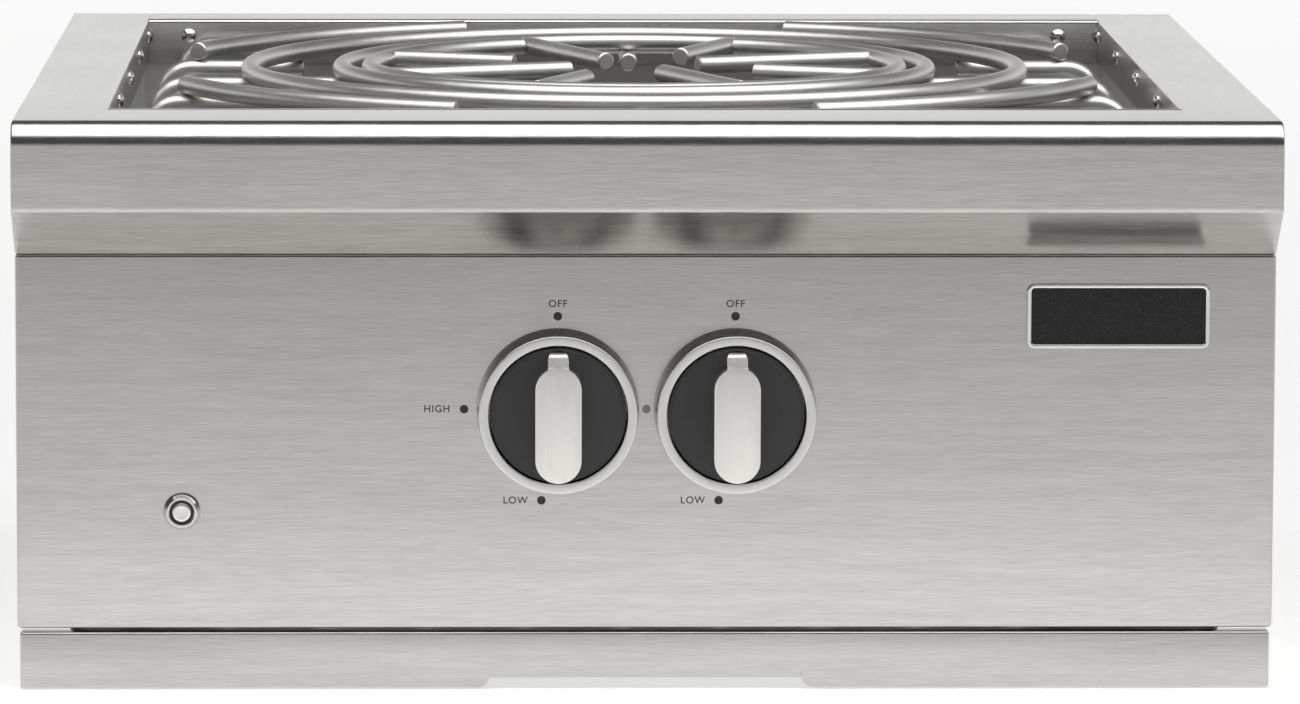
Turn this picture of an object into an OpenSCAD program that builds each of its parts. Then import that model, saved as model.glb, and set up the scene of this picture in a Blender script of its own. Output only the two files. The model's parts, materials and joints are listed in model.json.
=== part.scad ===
// Built-in gas power burner for an outdoor kitchen counter.
// Origin: centre of the footprint, on the surface the casing stands on. +Z up, front towards -Y.

/* [Casing] */
// Width of the bezel and the fascia
overall_w = 610; // [500:1:740]
// Depth from the bezel face to the rear edge of the top frame
body_d = 622; // [515:1:750]
// Height of the top sheet above the resting surface
body_h = 280; // [244:0.5:340]
// Thickness of the outer sheets
sheet_t = 1.5; // [1:0.1:2.5]
// Thickness of the inner sheets
thin_t = 1.2; // [0.8:0.1:2]
// Depth of the front strip of the top
front_strip = 71; // [60:0.5:85]
// Width of the side strips of the top
side_strip = 43.5; // [36:0.5:55]
// Width of the rear strip of the top
rear_strip = 39; // [33:0.5:48]
// How far the side strips stop short of the bezel's ends
strip_inset = 0.5; // [0:0.1:2]
// Depth of the flange that turns down round the opening
flange_h = 24; // [20:0.5:32]
// Distance from the end of the bezel to the casing's side wall
box_inset = 25; // [20:0.5:30]
// Distance from the rear edge of the top to the casing's rear wall
rear_inset = 22; // [21:0.5:30]

/* [Fascia] */
// Radius of the bezel's rolled front edge
bullnose_r = 12; // [9:0.5:15]
// Depth of the bezel's upright face, with the rolled edge
bezel_h = 42.5; // [34:0.5:50]
// Height of the sloped face under the bezel
slope_h = 24.5; // [20:0.5:30]
// How far the fascia lies behind the bezel face
panel_recess = 33; // [27:0.5:40]
// Gap between the fascia and the drip tray's front
tray_gap = 1.8; // [1.4:0.1:2.8]
// Height of the drip tray's front
tray_front_h = 27.2; // [22:0.1:31]
// How far the tray's front and end stop short of the fascia's ends
tray_front_inset = 1.2; // [0.5:0.1:3]

/* [Drip tray] */
// Depth of the tray's pan below its rim
pan_h = 18; // [14:0.5:21]
// Height of the tray's front above the resting surface
tray_front_lift = 1.1; // [0.5:0.1:2]
// Height of the pan's underside above the resting surface
pan_lift = 5.6; // [5:0.1:8]
// Height of the grip notch in the tray's front
notch_h = 12.4; // [10:0.5:16]
// Width of the grip notch
notch_w = 152; // [120:1:190]
// Radius of the notch's rounded corners
notch_r = 5.3; // [3:0.1:6]
// Sliding clearance between the tray and what guides it
slide_gap = 0.3; // [0.2:0.05:0.6]
// Clearance beside the pan and behind it
pan_side_gap = 3; // [2:0.5:6]

/* [Grate] */
// Diameter of the grate's rods
rod_d = 9.5; // [7.9:0.1:11.5]
// Height that the rings stand above the top sheet
ring_proud = 1.4; // [0:0.1:4]
// Gap between the outer ring's rod and the opening
ring_gap = 3.2; // [2:0.1:8]
// Distance from the outer ring to the middle ring
outer_step = 49; // [40:0.5:58]
// Distance from the middle ring to the inner ring
inner_step = 47.5; // [38:0.5:56]
// Distance from the inner ring to the lift-out centre's ring
centre_step = 14.8; // [12:0.1:18]
// How deep one layer of rods sinks into the other at a weld
weld_sink = 0.1; // [0.05:0.05:0.3]
// Angle from the cross axis to each end of an outer arc, at the sides
side_gap_a = 22.5; // [18:0.5:27]
// Angle from the long axis to the front right arc's end
end_gap_a = 19.7; // [18:0.1:22]
// How much further from the long axis the front left arc ends
front_left_trim_a = 2.1; // [0:0.1:2.5]
// How much further from the long axis the rear arcs end
rear_trim_a = 1; // [0:0.1:2.5]
// Radius of the bend at a support bar's end
bar_bend_r = 15; // [12:0.5:18]
// Height from the top sheet down to the ledge that the legs stand on
ledge_drop = 50; // [42:1:60]
// Radius at which the centre's long fingers end
long_finger_r = 36; // [30:1:43]
// Radius at which the centre's short fingers end
short_finger_r = 67; // [56:1:80]

/* [Knobs] */
// Distance of each knob from the middle of the fascia
knob_x = 43; // [41.5:0.5:52]
// Height of the knobs' axes below the top sheet
knob_drop = 142.5; // [125:0.5:160]
// Radius of the knob surround's front edge
surround_r = 38.3; // [34:0.1:39]
// How far the knob surround stands out from the fascia
surround_h = 23.5; // [19:0.5:28]
// Width of the surround's front rim
surround_rim = 4.7; // [3.5:0.05:6]
// Gap between the surround and the knob's disc
disc_gap = 0.7; // [0.5:0.1:2]
// Width of the knob's grip
grip_w = 22.2; // [18:0.1:27]
// How far the grip stands out from the disc
grip_h = 12.5; // [10:0.5:15]
// Length of the grip's sloped nose
grip_nose = 7; // [5:0.5:9]
// Width of the grip's sloped nose
grip_nose_w = 10; // [7:0.5:12]
// Radius of the valve's stem
stem_r = 4; // [3:0.1:5]
// Radial running clearance round the stem
stem_gap = 0.05; // [0.02:0.01:0.1]
// How far a knob pushes in before it turns
push_travel = 4; // [3:0.5:5]

/* [Ignition] */
// Distance of the ignition button left of the middle
button_x = 225; // [180:1:240]
// Height of the ignition button below the top sheet
button_drop = 192.5; // [175:0.1:200]
// Radius of the button's collar where it meets the fascia
collar_r = 9.1; // [7.5:0.1:11]
// Radius of the push button
button_r = 4.5; // [3.7:0.1:5.4]
// How far the button pushes in
button_travel = 3; // [2:0.5:4]

/* [Badge] */
// Width of the badge
badge_w = 88.5; // [74:0.5:106]
// Height of the badge
badge_h = 31.4; // [26:0.1:38]
// Distance of the badge right of the middle
badge_x = 228.5; // [200:0.5:240]
// Height of the badge's middle below the top sheet
badge_drop = 97; // [88:0.5:110]
// How far the badge stands out from the fascia
badge_t = 2.5; // [1.5:0.1:4]
// Width of the badge's rim
badge_rim = 1.9; // [1.5:0.1:3]

/* [Burner] */
// Outer radius of the outer burner ring
burner_r = 105; // [88:1:125]
// Inner radius of the outer burner ring
burner_inner_r = 72; // [66:1:80]
// Radius of the centre burner
centre_burner_r = 38; // [32:1:45]
// Depth of the burners' tops below the top sheet
burner_drop = 72; // [66:1:90]
// Height of a burner casting, without its cap
burner_h = 24; // [20:1:30]
// Thickness of a burner cap
cap_h = 7; // [5:0.5:9]
// Number of flame ports round the outer burner's cap
outer_ports = 40; // [20:1:48]
// Number of flame ports round the centre burner's cap
centre_ports = 16; // [8:1:24]
// Outer radius of the mixing tubes
mixer_r = 12; // [10:0.5:14]
// Wall of the mixing tubes
mixer_wall = 1.6; // [1:0.1:2.4]
// Outer radius of the gas pipes
pipe_r = 9.5; // [8:0.1:12]
// Wall of the gas pipes
pipe_wall = 2.4; // [2:0.1:3]
// Radius of the gas inlet's spigot
inlet_r = 10.65; // [8.5:0.05:13]
// Length of the gas inlet's spigot
inlet_l = 16; // [12:0.5:18]
// Height of the manifold's axis below the knobs' axes
manifold_drop = 34; // [30:0.5:38]
// Distance of the supply pipe right of the middle
supply_x = 232; // [200:1:240]

/* [Hidden] */
$fn = 64;
eps = 0.01;

// Planes of the casing
disc_set = 1;                             // disc's face lies behind the surround's rim
knob_proud = max(0, surround_h - disc_set + grip_h - panel_recess);
front_y = (knob_proud - body_d) / 2;      // bezel face
back_y = front_y + body_d;                // rear edge of the top frame
top_z = body_h;                           // top sheet's upper face
half_w = overall_w / 2;
knob_z = top_z - knob_drop;
strip_x = half_w - strip_inset;           // outer edge of the side strips
open_x = half_w - side_strip;             // half the opening's width
open_y0 = front_y + front_strip;          // opening's front edge
open_y1 = back_y - rear_strip;            // opening's rear edge
grate_y = (open_y0 + open_y1) / 2;        // middle of the opening
panel_y = front_y + panel_recess;         // fascia's front face
panel_back = panel_y + sheet_t;
panel_z1 = top_z - bezel_h - slope_h;     // fascia's upper edge
tray_front_z1 = tray_front_lift + tray_front_h;
panel_z0 = tray_front_z1 + tray_gap;      // fascia's lower edge
box_x = half_w - box_inset;               // outside of the casing's side walls
box_y1 = back_y - rear_inset;             // outside of the casing's rear wall
lip_l = 14;                               // lip that joins the bezel to the fascia
return_l = front_strip - panel_recess;    // fascia's side returns
hem_w = 10;                               // folded hem under the strips' outer edges
wall_flange = 15;                         // flanges that join the casing's walls
cheek_t = sheet_t;

// Liner, with a step that makes room for the valves behind the fascia
ledge_w = 30;
ledge_h = 16;
ledge_z = top_z - ledge_drop;             // ledges' upper face
liner_x = open_x + sheet_t;               // liner's inner face at the sides
liner_y0 = open_y0 - sheet_t;             // liner's inner face at the front
liner_y1 = open_y1 + sheet_t;             // liner's inner face at the rear
liner_z0 = knob_z - mixer_r - 8.5;        // liner's lower edge
step_y = open_y0 + 55;                    // liner's face behind the valves
step_z = top_z - ledge_drop - ledge_h - 6;

// Grate
rod_r = rod_d / 2;
ring_z = top_z + ring_proud - rod_r;
bar_z = ring_z - rod_d + weld_sink;
lift_gap = 0.1;                           // the lift-out centre stands clear of its supports
centre_z = ring_z + weld_sink + lift_gap;
rod_reach = min(open_x, (open_y1 - open_y0) / 2) - ring_gap;
outer_ring_r = rod_reach - rod_r;
middle_ring_r = outer_ring_r - outer_step;
inner_ring_r = middle_ring_r - inner_step;
centre_ring_r = inner_ring_r - centre_step;
weld_a = 0.8;                             // arcs run this far past the bars that carry them
side_bar_y = outer_ring_r * sin(side_gap_a + weld_a);
end_bar_y = outer_ring_r * cos(end_gap_a + weld_a);
leg_x = open_x - ring_gap - rod_d - 1.6;
end_leg_x = leg_x - 6.5;
finger_a0 = 22.5;
finger_step = 45;

// Screws
screw_r = 2;
screw_gap = 0.15;
screw_head_r = 4;
screw_head_h = 2.4;
screw_drop = 9;
screws_per_side = 5;
screw_pitch = (open_y1 - open_y0 - 12) / (screws_per_side - 1);
rear_screw_x = open_x - 22;

// Knobs and valves
surround_inner_r = surround_r - surround_rim;
surround_base_r = surround_r + 1.2;
disc_r = surround_inner_r - disc_gap;
disc_front = panel_y - surround_h + disc_set;
disc_t = 5;
grip_l = 2 * disc_r - 2.6;
hub_r = 9;
valve_y = panel_back + 5;                 // valve's front face
valve_r = 14;
valve_l = 36;
valve_neck_r = 7;
spring_bore_r = 9;
spring_bore_l = 19;
collar_l = 3;
collar_y = valve_y + 1;                   // thrust collar's front face
shoulder_r = 6.5;
shoulder_l = 3;
shoulder_gap = 0.3;
spring_r = 6.6;
spring_wire_r = 0.6;
spring_turns = 4;
spring_y0 = collar_y + collar_l + spring_wire_r;
spring_l = valve_y + spring_bore_l - spring_y0 - spring_wire_r - push_travel - 1.5;
stem_y0 = disc_front + disc_t;            // stem's outer end, in the knob's hub
valve_floor = 4;                          // solid metal behind the stem's bore
stem_end_gap = 1;
stem_y1 = valve_y + valve_l - valve_floor - push_travel - stem_end_gap;
orifice_hex_r = 5.5;
orifice_hex_l = 8;
orifice_tip_r = 2.5;
orifice_tip_l = 6;
orifice_end = valve_y + valve_l + orifice_hex_l + orifice_tip_l;
manifold_z = knob_z - manifold_drop;
manifold_y = valve_y + spring_bore_l + 1;
manifold_x0 = -knob_x - 42;
supply_bend_r = 24;
inlet_hex_r = 15;
inlet_seat = 0.3;                         // inlet's hexagon stands clear of the rear panel

// Burners
cap_z = top_z - burner_drop - cap_h;      // seam between the caps and castings
bowl_z = cap_z - burner_h;                // underside of the castings
bowl_wall = 3.5;
mixer_z = knob_z;
mixer_y0 = orifice_end + 5;               // mixing tubes' open ends
mixer_bend_r = 22;
mixer_hole_gap = 2;
channel_r = (burner_r + burner_inner_r) / 2;
outer_feed_y = -channel_r * cos(asin(knob_x / channel_r));
centre_feed_x = knob_x - 2 * mixer_bend_r;
shutter_l = 20;
shutter_wall = 1.2;
shutter_gap = 0.3;
shutter_flange_r = mixer_r + 7;
support_y = 45;
support_w = 26;
support_t = 3;
port_w = 2.4;
port_h = 3;

// Ignition
button_z = top_z - button_drop;
collar_h = 4.6;
collar_face_r = 6.1;
sleeve_r = 7.5;
sleeve_l = 14;
button_gap = 0.08;
button_l = collar_h + sleeve_l - sheet_t - button_travel - 1;
button_proud = 0.4;                       // button's face lies behind the collar's rim
module_r = 13;
module_l = 66;
battery_r = 7.2;
battery_l = 50;
electrode_r = 3.2;
electrode_gap = 0.1;
electrode_out = 9;                        // electrode's distance outside the burner
electrode_x = -sqrt(pow(burner_r + electrode_out, 2) - support_y * support_y);
electrode_y = grate_y - support_y;
lead_r = 1.5;
electrode_z0 = bowl_z - support_t - 14;

// Places 2D children drawn as (y, z) and extrudes them across the object
module across(w) {
    rotate([90, 0, 90]) linear_extrude(w, center = true) children();
}

// Places 2D children drawn as (x, z) and extrudes them backwards from the plane y
module backwards(y, l) {
    translate([0, y + l, 0]) rotate([90, 0, 0]) linear_extrude(l) children();
}

// A rod or disc that runs backwards from a point
module rod_y(x, y, z, r, l) {
    translate([x, y, z]) rotate([-90, 0, 0]) cylinder(r = r, h = l);
}

// Box from its two corners
module block(a, b) {
    translate(a) cube([b[0] - a[0], b[1] - a[1], b[2] - a[2]]);
}

module both_sides() {
    children();
    mirror([1, 0, 0]) children();
}

// ---- Casing ----

module bezel_profile() {
    slope_l = sqrt(panel_recess * panel_recess + slope_h * slope_h);
    n = [slope_h, panel_recess] * (sheet_t / slope_l);
    a = [front_y, top_z - bezel_h];
    b = [panel_y, panel_z1];
    translate([front_y + bullnose_r, top_z - sheet_t])
        square([front_strip - bullnose_r, sheet_t]);
    translate([front_y + bullnose_r, top_z - bullnose_r]) intersection() {
        difference() {
            circle(bullnose_r);
            circle(bullnose_r - sheet_t);
        }
        translate([-2 * bullnose_r, 0]) square(2 * bullnose_r);
    }
    translate(a) square([sheet_t, bezel_h - bullnose_r]);
    polygon([a, b, b + n, a + n]);
    translate(b) square([lip_l, sheet_t]);
}

module cheek_profile() {
    difference() {
        union() {
            polygon([
                [front_y, top_z - bullnose_r], [front_y, top_z - bezel_h], [panel_y, panel_z1],
                [open_y0 - sheet_t, panel_z1], [open_y0 - sheet_t, top_z], [front_y + bullnose_r, top_z]
            ]);
            translate([front_y + bullnose_r, top_z - bullnose_r]) circle(bullnose_r - sheet_t / 2);
        }
        bezel_profile();
    }
}

module front_bezel() {
    color("silver") {
        across(overall_w) bezel_profile();
        block([-open_x, open_y0 - sheet_t, top_z - flange_h], [open_x, open_y0, top_z]);
    }
}

module bezel_end_caps() {
    color("silver") both_sides()
        translate([half_w - cheek_t / 2, 0, 0]) across(cheek_t) cheek_profile();
}

// Bores for the screws along one side of the opening, through the flange and the liner
module side_screw_bores(r) {
    for (i = [0 : screws_per_side - 1])
        translate([open_x - 1, open_y0 + 3 + 3 + i * screw_pitch, top_z - screw_drop])
            rotate([0, 90, 0]) cylinder(r = r, h = sheet_t + thin_t + 2);
}

module rear_screw_bores(r) {
    for (sx = [-1, 1])
        rod_y(sx * rear_screw_x, open_y1 - 1, top_z - screw_drop, r, sheet_t + thin_t + 2);
}

module side_flange() {
    difference() {
        union() {
            block([open_x, open_y0, top_z - sheet_t], [strip_x, back_y, top_z]);
            block([strip_x - hem_w, open_y0, top_z - 2 * sheet_t], [strip_x, back_y, top_z - sheet_t]);
            block([open_x, open_y0, top_z - flange_h], [open_x + sheet_t, open_y1 + sheet_t, top_z]);
        }
        side_screw_bores(screw_r + screw_gap);
    }
}

module left_flange() {
    color("silver") mirror([1, 0, 0]) side_flange();
}

module right_flange() {
    color("silver") side_flange();
}

module rear_flange() {
    color("silver") difference() {
        union() {
            block([-open_x, open_y1, top_z - sheet_t], [open_x, back_y, top_z]);
            block([-open_x, back_y - hem_w, top_z - 2 * sheet_t], [open_x, back_y, top_z - sheet_t]);
            block([-open_x, open_y1, top_z - flange_h], [open_x, open_y1 + sheet_t, top_z]);
        }
        rear_screw_bores(screw_r + screw_gap);
    }
}

module control_panel() {
    color("lightgray") difference() {
        union() {
            block([-half_w, panel_y, panel_z0], [half_w, panel_back, panel_z1]);
            block([-half_w, panel_y, panel_z1 - sheet_t], [half_w, panel_y + lip_l, panel_z1]);
            block([-half_w, panel_y, panel_z0], [half_w, panel_y + lip_l, panel_z0 + sheet_t]);
            both_sides()
                block([half_w - sheet_t, panel_y, panel_z0], [half_w, panel_y + return_l - sheet_t, panel_z1]);
        }
        for (sx = [-1, 1])
            rod_y(sx * knob_x, panel_y - 1, knob_z, shoulder_r + 1.5, sheet_t + 2);
        rod_y(-button_x, panel_y - 1, button_z, sleeve_r + 0.1, sheet_t + 2);
    }
}

module side_panel() {
    wall_y0 = panel_y + lip_l + 1;
    wall_y1 = box_y1 - thin_t;
    wall_z1 = top_z - sheet_t;
    front_z0 = panel_z0 + sheet_t + 0.2;
    front_z1 = panel_z1 - sheet_t - 0.2;
    color("darkgray") {
        block([box_x - thin_t, wall_y0, 0], [box_x, wall_y1, wall_z1]);
        block([box_x - thin_t, panel_back, front_z0], [box_x, wall_y0, front_z1]);
        block([box_x - wall_flange, panel_back, front_z0], [box_x, panel_back + thin_t, front_z1]);
        block([box_x - wall_flange - 10, wall_y0, 0], [box_x, wall_y1, thin_t]);
        block([box_x - wall_flange, wall_y1 - thin_t, 0], [box_x, wall_y1, wall_z1]);
        block([liner_x + thin_t, wall_y0, top_z - sheet_t - thin_t], [box_x, wall_y1, top_z - sheet_t]);
    }
}

module left_side_panel() {
    mirror([1, 0, 0]) side_panel();
}

module right_side_panel() {
    side_panel();
}

module vent_slot(x, z) {
    slot_l = 34;
    rod_y(x, box_y1 - thin_t - 1, z - slot_l / 2, 3, thin_t + 2);
    rod_y(x, box_y1 - thin_t - 1, z + slot_l / 2, 3, thin_t + 2);
    block([x - 3, box_y1 - thin_t - 1, z - slot_l / 2], [x + 3, box_y1 + 1, z + slot_l / 2]);
}

module rear_panel() {
    slots = 9;
    slot_pitch = (2 * box_x - 120) / (slots - 1);
    color("darkgray") difference() {
        union() {
            block([-box_x, box_y1 - thin_t, 0], [box_x, box_y1, top_z - sheet_t]);
            block([-box_x + 40, box_y1 - thin_t - wall_flange, 0], [box_x - 40, box_y1, thin_t]);
        }
        for (i = [0 : slots - 1])
            for (z = [panel_z0 + 40, top_z - 70])
                vent_slot(-box_x + 60 + i * slot_pitch, z);
        rod_y(supply_x, box_y1 - thin_t - 1, manifold_z, pipe_r + 0.3, thin_t + 2);
        rear_panel_screw_bores(screw_r + screw_gap, 4);
    }
}

// Screws that hold the rear panel to the side panels' rear flanges
module rear_panel_screw_bores(r, l) {
    for (sx = [-1, 1])
        for (z = [25, top_z / 2, top_z - 30])
            rod_y(sx * (box_x - wall_flange / 2 - 1), box_y1 - l, z, r, l + 1);
}

module dome_head() {
    flat_r = screw_head_r;
    rise = screw_head_h;
    ball_r = (flat_r * flat_r + rise * rise) / (2 * rise);
    intersection() {
        translate([0, 0, rise - ball_r]) sphere(ball_r);
        cylinder(r = flat_r, h = rise);
    }
}

module rear_panel_screws() {
    color("gainsboro") for (sx = [-1, 1])
        for (z = [25, top_z / 2, top_z - 30])
            translate([sx * (box_x - wall_flange / 2 - 1), box_y1, z]) rotate([-90, 0, 0]) {
                dome_head();
                translate([0, 0, -thin_t]) cylinder(r = screw_r, h = thin_t + 0.5);
            }
}

module flange_screws() {
    shank_l = sheet_t + thin_t + 1.5;
    color("gainsboro") {
        both_sides() for (i = [0 : screws_per_side - 1])
            translate([open_x, open_y0 + 6 + i * screw_pitch, top_z - screw_drop]) rotate([0, -90, 0]) {
                dome_head();
                translate([0, 0, -shank_l]) cylinder(r = screw_r, h = shank_l + 0.5);
            }
        for (sx = [-1, 1])
            translate([sx * rear_screw_x, open_y1, top_z - screw_drop]) rotate([90, 0, 0]) {
                dome_head();
                translate([0, 0, -shank_l]) cylinder(r = screw_r, h = shank_l + 0.5);
            }
    }
}

// ---- Liner and ledges ----

module side_liner() {
    color("gray") difference() {
        block([liner_x, liner_y0 - thin_t, liner_z0], [liner_x + thin_t, liner_y1 + thin_t, top_z - sheet_t]);
        side_screw_bores(screw_r + screw_gap);
    }
}

module left_liner() {
    mirror([1, 0, 0]) side_liner();
}

module right_liner() {
    side_liner();
}

module rear_liner() {
    color("gray") difference() {
        block([-liner_x, liner_y1, liner_z0], [liner_x, liner_y1 + thin_t, top_z - sheet_t]);
        rear_screw_bores(screw_r + screw_gap);
    }
}

module front_liner() {
    color("gray") difference() {
        union() {
            block([-liner_x, liner_y0 - thin_t, step_z - thin_t], [liner_x, liner_y0, top_z - sheet_t]);
            block([-liner_x, liner_y0 - thin_t, step_z - thin_t], [liner_x, step_y + thin_t, step_z]);
            block([-liner_x, step_y, liner_z0], [liner_x, step_y + thin_t, step_z]);
        }
        for (sx = [-1, 1])
            rod_y(sx * knob_x, step_y - 1, mixer_z, mixer_r + mixer_hole_gap, thin_t + 2);
    }
}

module grate_ledges() {
    color("gray") both_sides() {
        block([liner_x - ledge_w, liner_y0 + 1, ledge_z - thin_t], [liner_x, liner_y1 - 1, ledge_z]);
        block([liner_x - thin_t, liner_y0 + 1, ledge_z - ledge_h], [liner_x, liner_y1 - 1, ledge_z]);
    }
}

// ---- Drip tray ----

module tray_runners() {
    color("gray") both_sides()
        block([box_x - thin_t - 22, panel_y + lip_l + 6, thin_t],
            [box_x - thin_t, box_y1 - 2 * thin_t - 4, pan_lift - slide_gap]);
}

module drip_tray_pan() {
    pan_x = box_x - thin_t - pan_side_gap;
    pan_y1 = box_y1 - 2 * thin_t - pan_side_gap;
    color("silver") difference() {
        block([-pan_x, panel_back, pan_lift], [pan_x, pan_y1, pan_lift + pan_h]);
        block([-pan_x + thin_t, panel_back + thin_t, pan_lift + thin_t],
            [pan_x - thin_t, pan_y1 - thin_t, pan_lift + pan_h + 1]);
    }
}

module notch_profile() {
    translate([-notch_w / 2, -1]) square([notch_w, notch_h - notch_r + 1]);
    translate([-notch_w / 2 + notch_r, 0]) square([notch_w - 2 * notch_r, notch_h]);
    for (sx = [-1, 1]) {
        translate([sx * (notch_w / 2 - notch_r), notch_h - notch_r]) circle(notch_r);
        difference() {
            translate([sx * (notch_w / 2 + notch_r / 2) - notch_r / 2 - eps, -1])
                square([notch_r + 2 * eps, notch_r + 1]);
            translate([sx * (notch_w / 2 + notch_r), notch_r]) circle(notch_r);
        }
    }
}

module drip_tray_front() {
    front_x = half_w - tray_front_inset;
    color("lightgray") difference() {
        union() {
            block([-front_x, panel_y, tray_front_lift], [front_x, panel_back, tray_front_z1]);
            block([-front_x, panel_y, tray_front_z1 - sheet_t], [front_x, panel_back + 9, tray_front_z1]);
            both_sides()
                block([front_x - sheet_t, panel_y, tray_front_lift], [front_x, panel_back + 9, tray_front_z1]);
        }
        translate([0, 0, tray_front_lift]) backwards(panel_y - 1, sheet_t + 2) notch_profile();
    }
}

// ---- Grate ----

module ring(r, z, a0 = 0, a1 = 360) {
    translate([0, grate_y, z]) rotate([0, 0, a0])
        rotate_extrude(angle = a1 - a0, $fn = 96) translate([r, 0]) circle(rod_r, $fn = 32);
}

module outer_ring_arcs() {
    color("silver") for (q = [0 : 3]) {
        odd = q % 2;
        end_a = end_gap_a + (q < 2 ? rear_trim_a : q == 2 ? front_left_trim_a : 0);
        a0 = 90 * q + (odd == 0 ? side_gap_a : end_a);
        a1 = 90 * (q + 1) - (odd == 0 ? end_a : side_gap_a);
        ring(outer_ring_r, ring_z, a0, a1);
    }
}

module middle_ring() {
    color("silver") ring(middle_ring_r, ring_z);
}

module inner_ring() {
    color("silver") ring(inner_ring_r, ring_z);
}

// Rod along +X that turns down into a leg at its outer end
module legged_bar(x0, leg) {
    translate([x0, 0, bar_z]) rotate([0, 90, 0]) cylinder(r = rod_r, h = leg - bar_bend_r - x0, $fn = 32);
    translate([leg - bar_bend_r, 0, bar_z - bar_bend_r]) rotate([90, 0, 0])
        rotate_extrude(angle = 90) translate([bar_bend_r, 0]) circle(rod_r, $fn = 32);
    translate([leg, 0, ledge_z]) cylinder(r = rod_r, h = bar_z - bar_bend_r - ledge_z, $fn = 32);
}

module side_bars() {
    reach = floor(sqrt(middle_ring_r * middle_ring_r - side_bar_y * side_bar_y));
    color("silver") for (a = [0, 180]) translate([0, grate_y, 0]) rotate([0, 0, a]) {
        legged_bar(centre_ring_r - 2, leg_x);
        for (sy = [-1, 1])
            translate([0, sy * side_bar_y, 0]) legged_bar(reach, leg_x);
    }
}

module end_bars() {
    color("silver") translate([0, grate_y, 0]) for (sy = [-1, 1])
        translate([0, sy * end_bar_y, 0]) {
            both_sides() legged_bar(0, end_leg_x);
        }
}

module centre_bars() {
    color("silver") for (sy = [-1, 1]) difference() {
        translate([0, grate_y + sy * (centre_ring_r - 2), bar_z]) rotate([-90 * sy, 0, 0])
            cylinder(r = rod_r, h = end_bar_y - centre_ring_r + 2, $fn = 32);
        translate([-20, grate_y + sy * end_bar_y, bar_z]) rotate([0, 90, 0])
            cylinder(r = rod_r, h = 40, $fn = 32);
    }
}

// One finger of the lift-out centre, from radius r0 to radius r1
module finger(a, r0, r1) {
    translate([0, grate_y, centre_z]) rotate([0, 0, a]) translate([r0, 0, 0]) rotate([0, 90, 0])
        cylinder(r = rod_r, h = r1 - r0, $fn = 32);
}

// The fingers beside the rear gap run past the ring, whose ends meet them
module gap_fingers() {
    finger(67.5, short_finger_r, centre_ring_r + rod_r);
    finger(112.5, long_finger_r, centre_ring_r + rod_r);
}

module centre_ring() {
    end_a = asin((rod_r - weld_sink) / centre_ring_r);
    color("silver") ring(centre_ring_r, centre_z, 112.5 + end_a, 427.5 - end_a);
}

module centre_fingers() {
    color("silver") {
        gap_fingers();
        for (k = [3 : 8]) {
            a = finger_a0 + finger_step * k;
            r0 = k % 2 == 0 ? long_finger_r : short_finger_r;
            difference() {
                finger(a, r0, centre_ring_r);
                ring(centre_ring_r, centre_z);
            }
        }
    }
}

// ---- Knobs and valves ----

module knob_surround(sx) {
    lip = 2.5;
    color("silver") translate([sx * knob_x, panel_y, knob_z]) rotate([90, 0, 0]) rotate_extrude($fn = 96)
        polygon([
            [surround_inner_r, surround_h - 1], [surround_inner_r + 0.6, surround_h],
            [surround_r - 0.8, surround_h], [surround_r, surround_h - 0.8],
            [surround_base_r, 1], [surround_base_r, 0],
            [shoulder_r + 4, 0], [shoulder_r + 4, lip],
            [surround_inner_r - 1, lip], [surround_inner_r, lip + 2]
        ]);
}

module knob_disc(sx) {
    hub_l = surround_h - disc_set - disc_t - push_travel - 4;
    color("#3b3b3b") translate([sx * knob_x, disc_front, knob_z]) rotate([-90, 0, 0]) difference() {
        union() {
            rotate_extrude($fn = 96) polygon([
                [0, 0], [disc_r - 0.6, 0], [disc_r, 0.6], [disc_r, disc_t], [0, disc_t]
            ]);
            cylinder(r = hub_r, h = disc_t + hub_l);
        }
        translate([0, 0, disc_t]) cylinder(r = stem_r + 0.02, h = hub_l + 1);
    }
}

module knob_grip(sx) {
    end_r = grip_w / 2;
    tip = grip_l / 2;
    head = tip - grip_nose;
    nose_drop = 0.3;                      // nose starts behind the grip's face
    color("gainsboro") translate([sx * knob_x, 0, knob_z]) union() {
        backwards(disc_front - grip_h, grip_h) {
            translate([-end_r, end_r - tip]) square([grip_w, head + tip - grip_w]);
            for (z = [end_r - tip, head - end_r])
                translate([0, z]) circle(end_r);
        }
        across(grip_nose_w) polygon([
            [disc_front - grip_h + nose_drop, head - end_r], [disc_front - grip_h + nose_drop, head - nose_drop],
            [disc_front, tip], [disc_front, head - end_r]
        ]);
    }
}

module stem(sx) {
    flat = stem_r * 0.55;
    color("silver") difference() {
        union() {
            rod_y(sx * knob_x, stem_y0, knob_z, stem_r, stem_y1 - stem_y0);
            rod_y(sx * knob_x, collar_y - shoulder_gap - shoulder_l, knob_z, shoulder_r, shoulder_l);
        }
        translate([sx * knob_x - stem_r, stem_y0 - 1, knob_z + flat]) cube([2 * stem_r, 9, stem_r]);
    }
}

module thrust_collar(sx) {
    color("goldenrod") difference() {
        rod_y(sx * knob_x, collar_y, knob_z, spring_bore_r - 0.3, collar_l);
        rod_y(sx * knob_x, collar_y - 1, knob_z, stem_r + stem_gap, collar_l + 2);
    }
}

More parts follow.
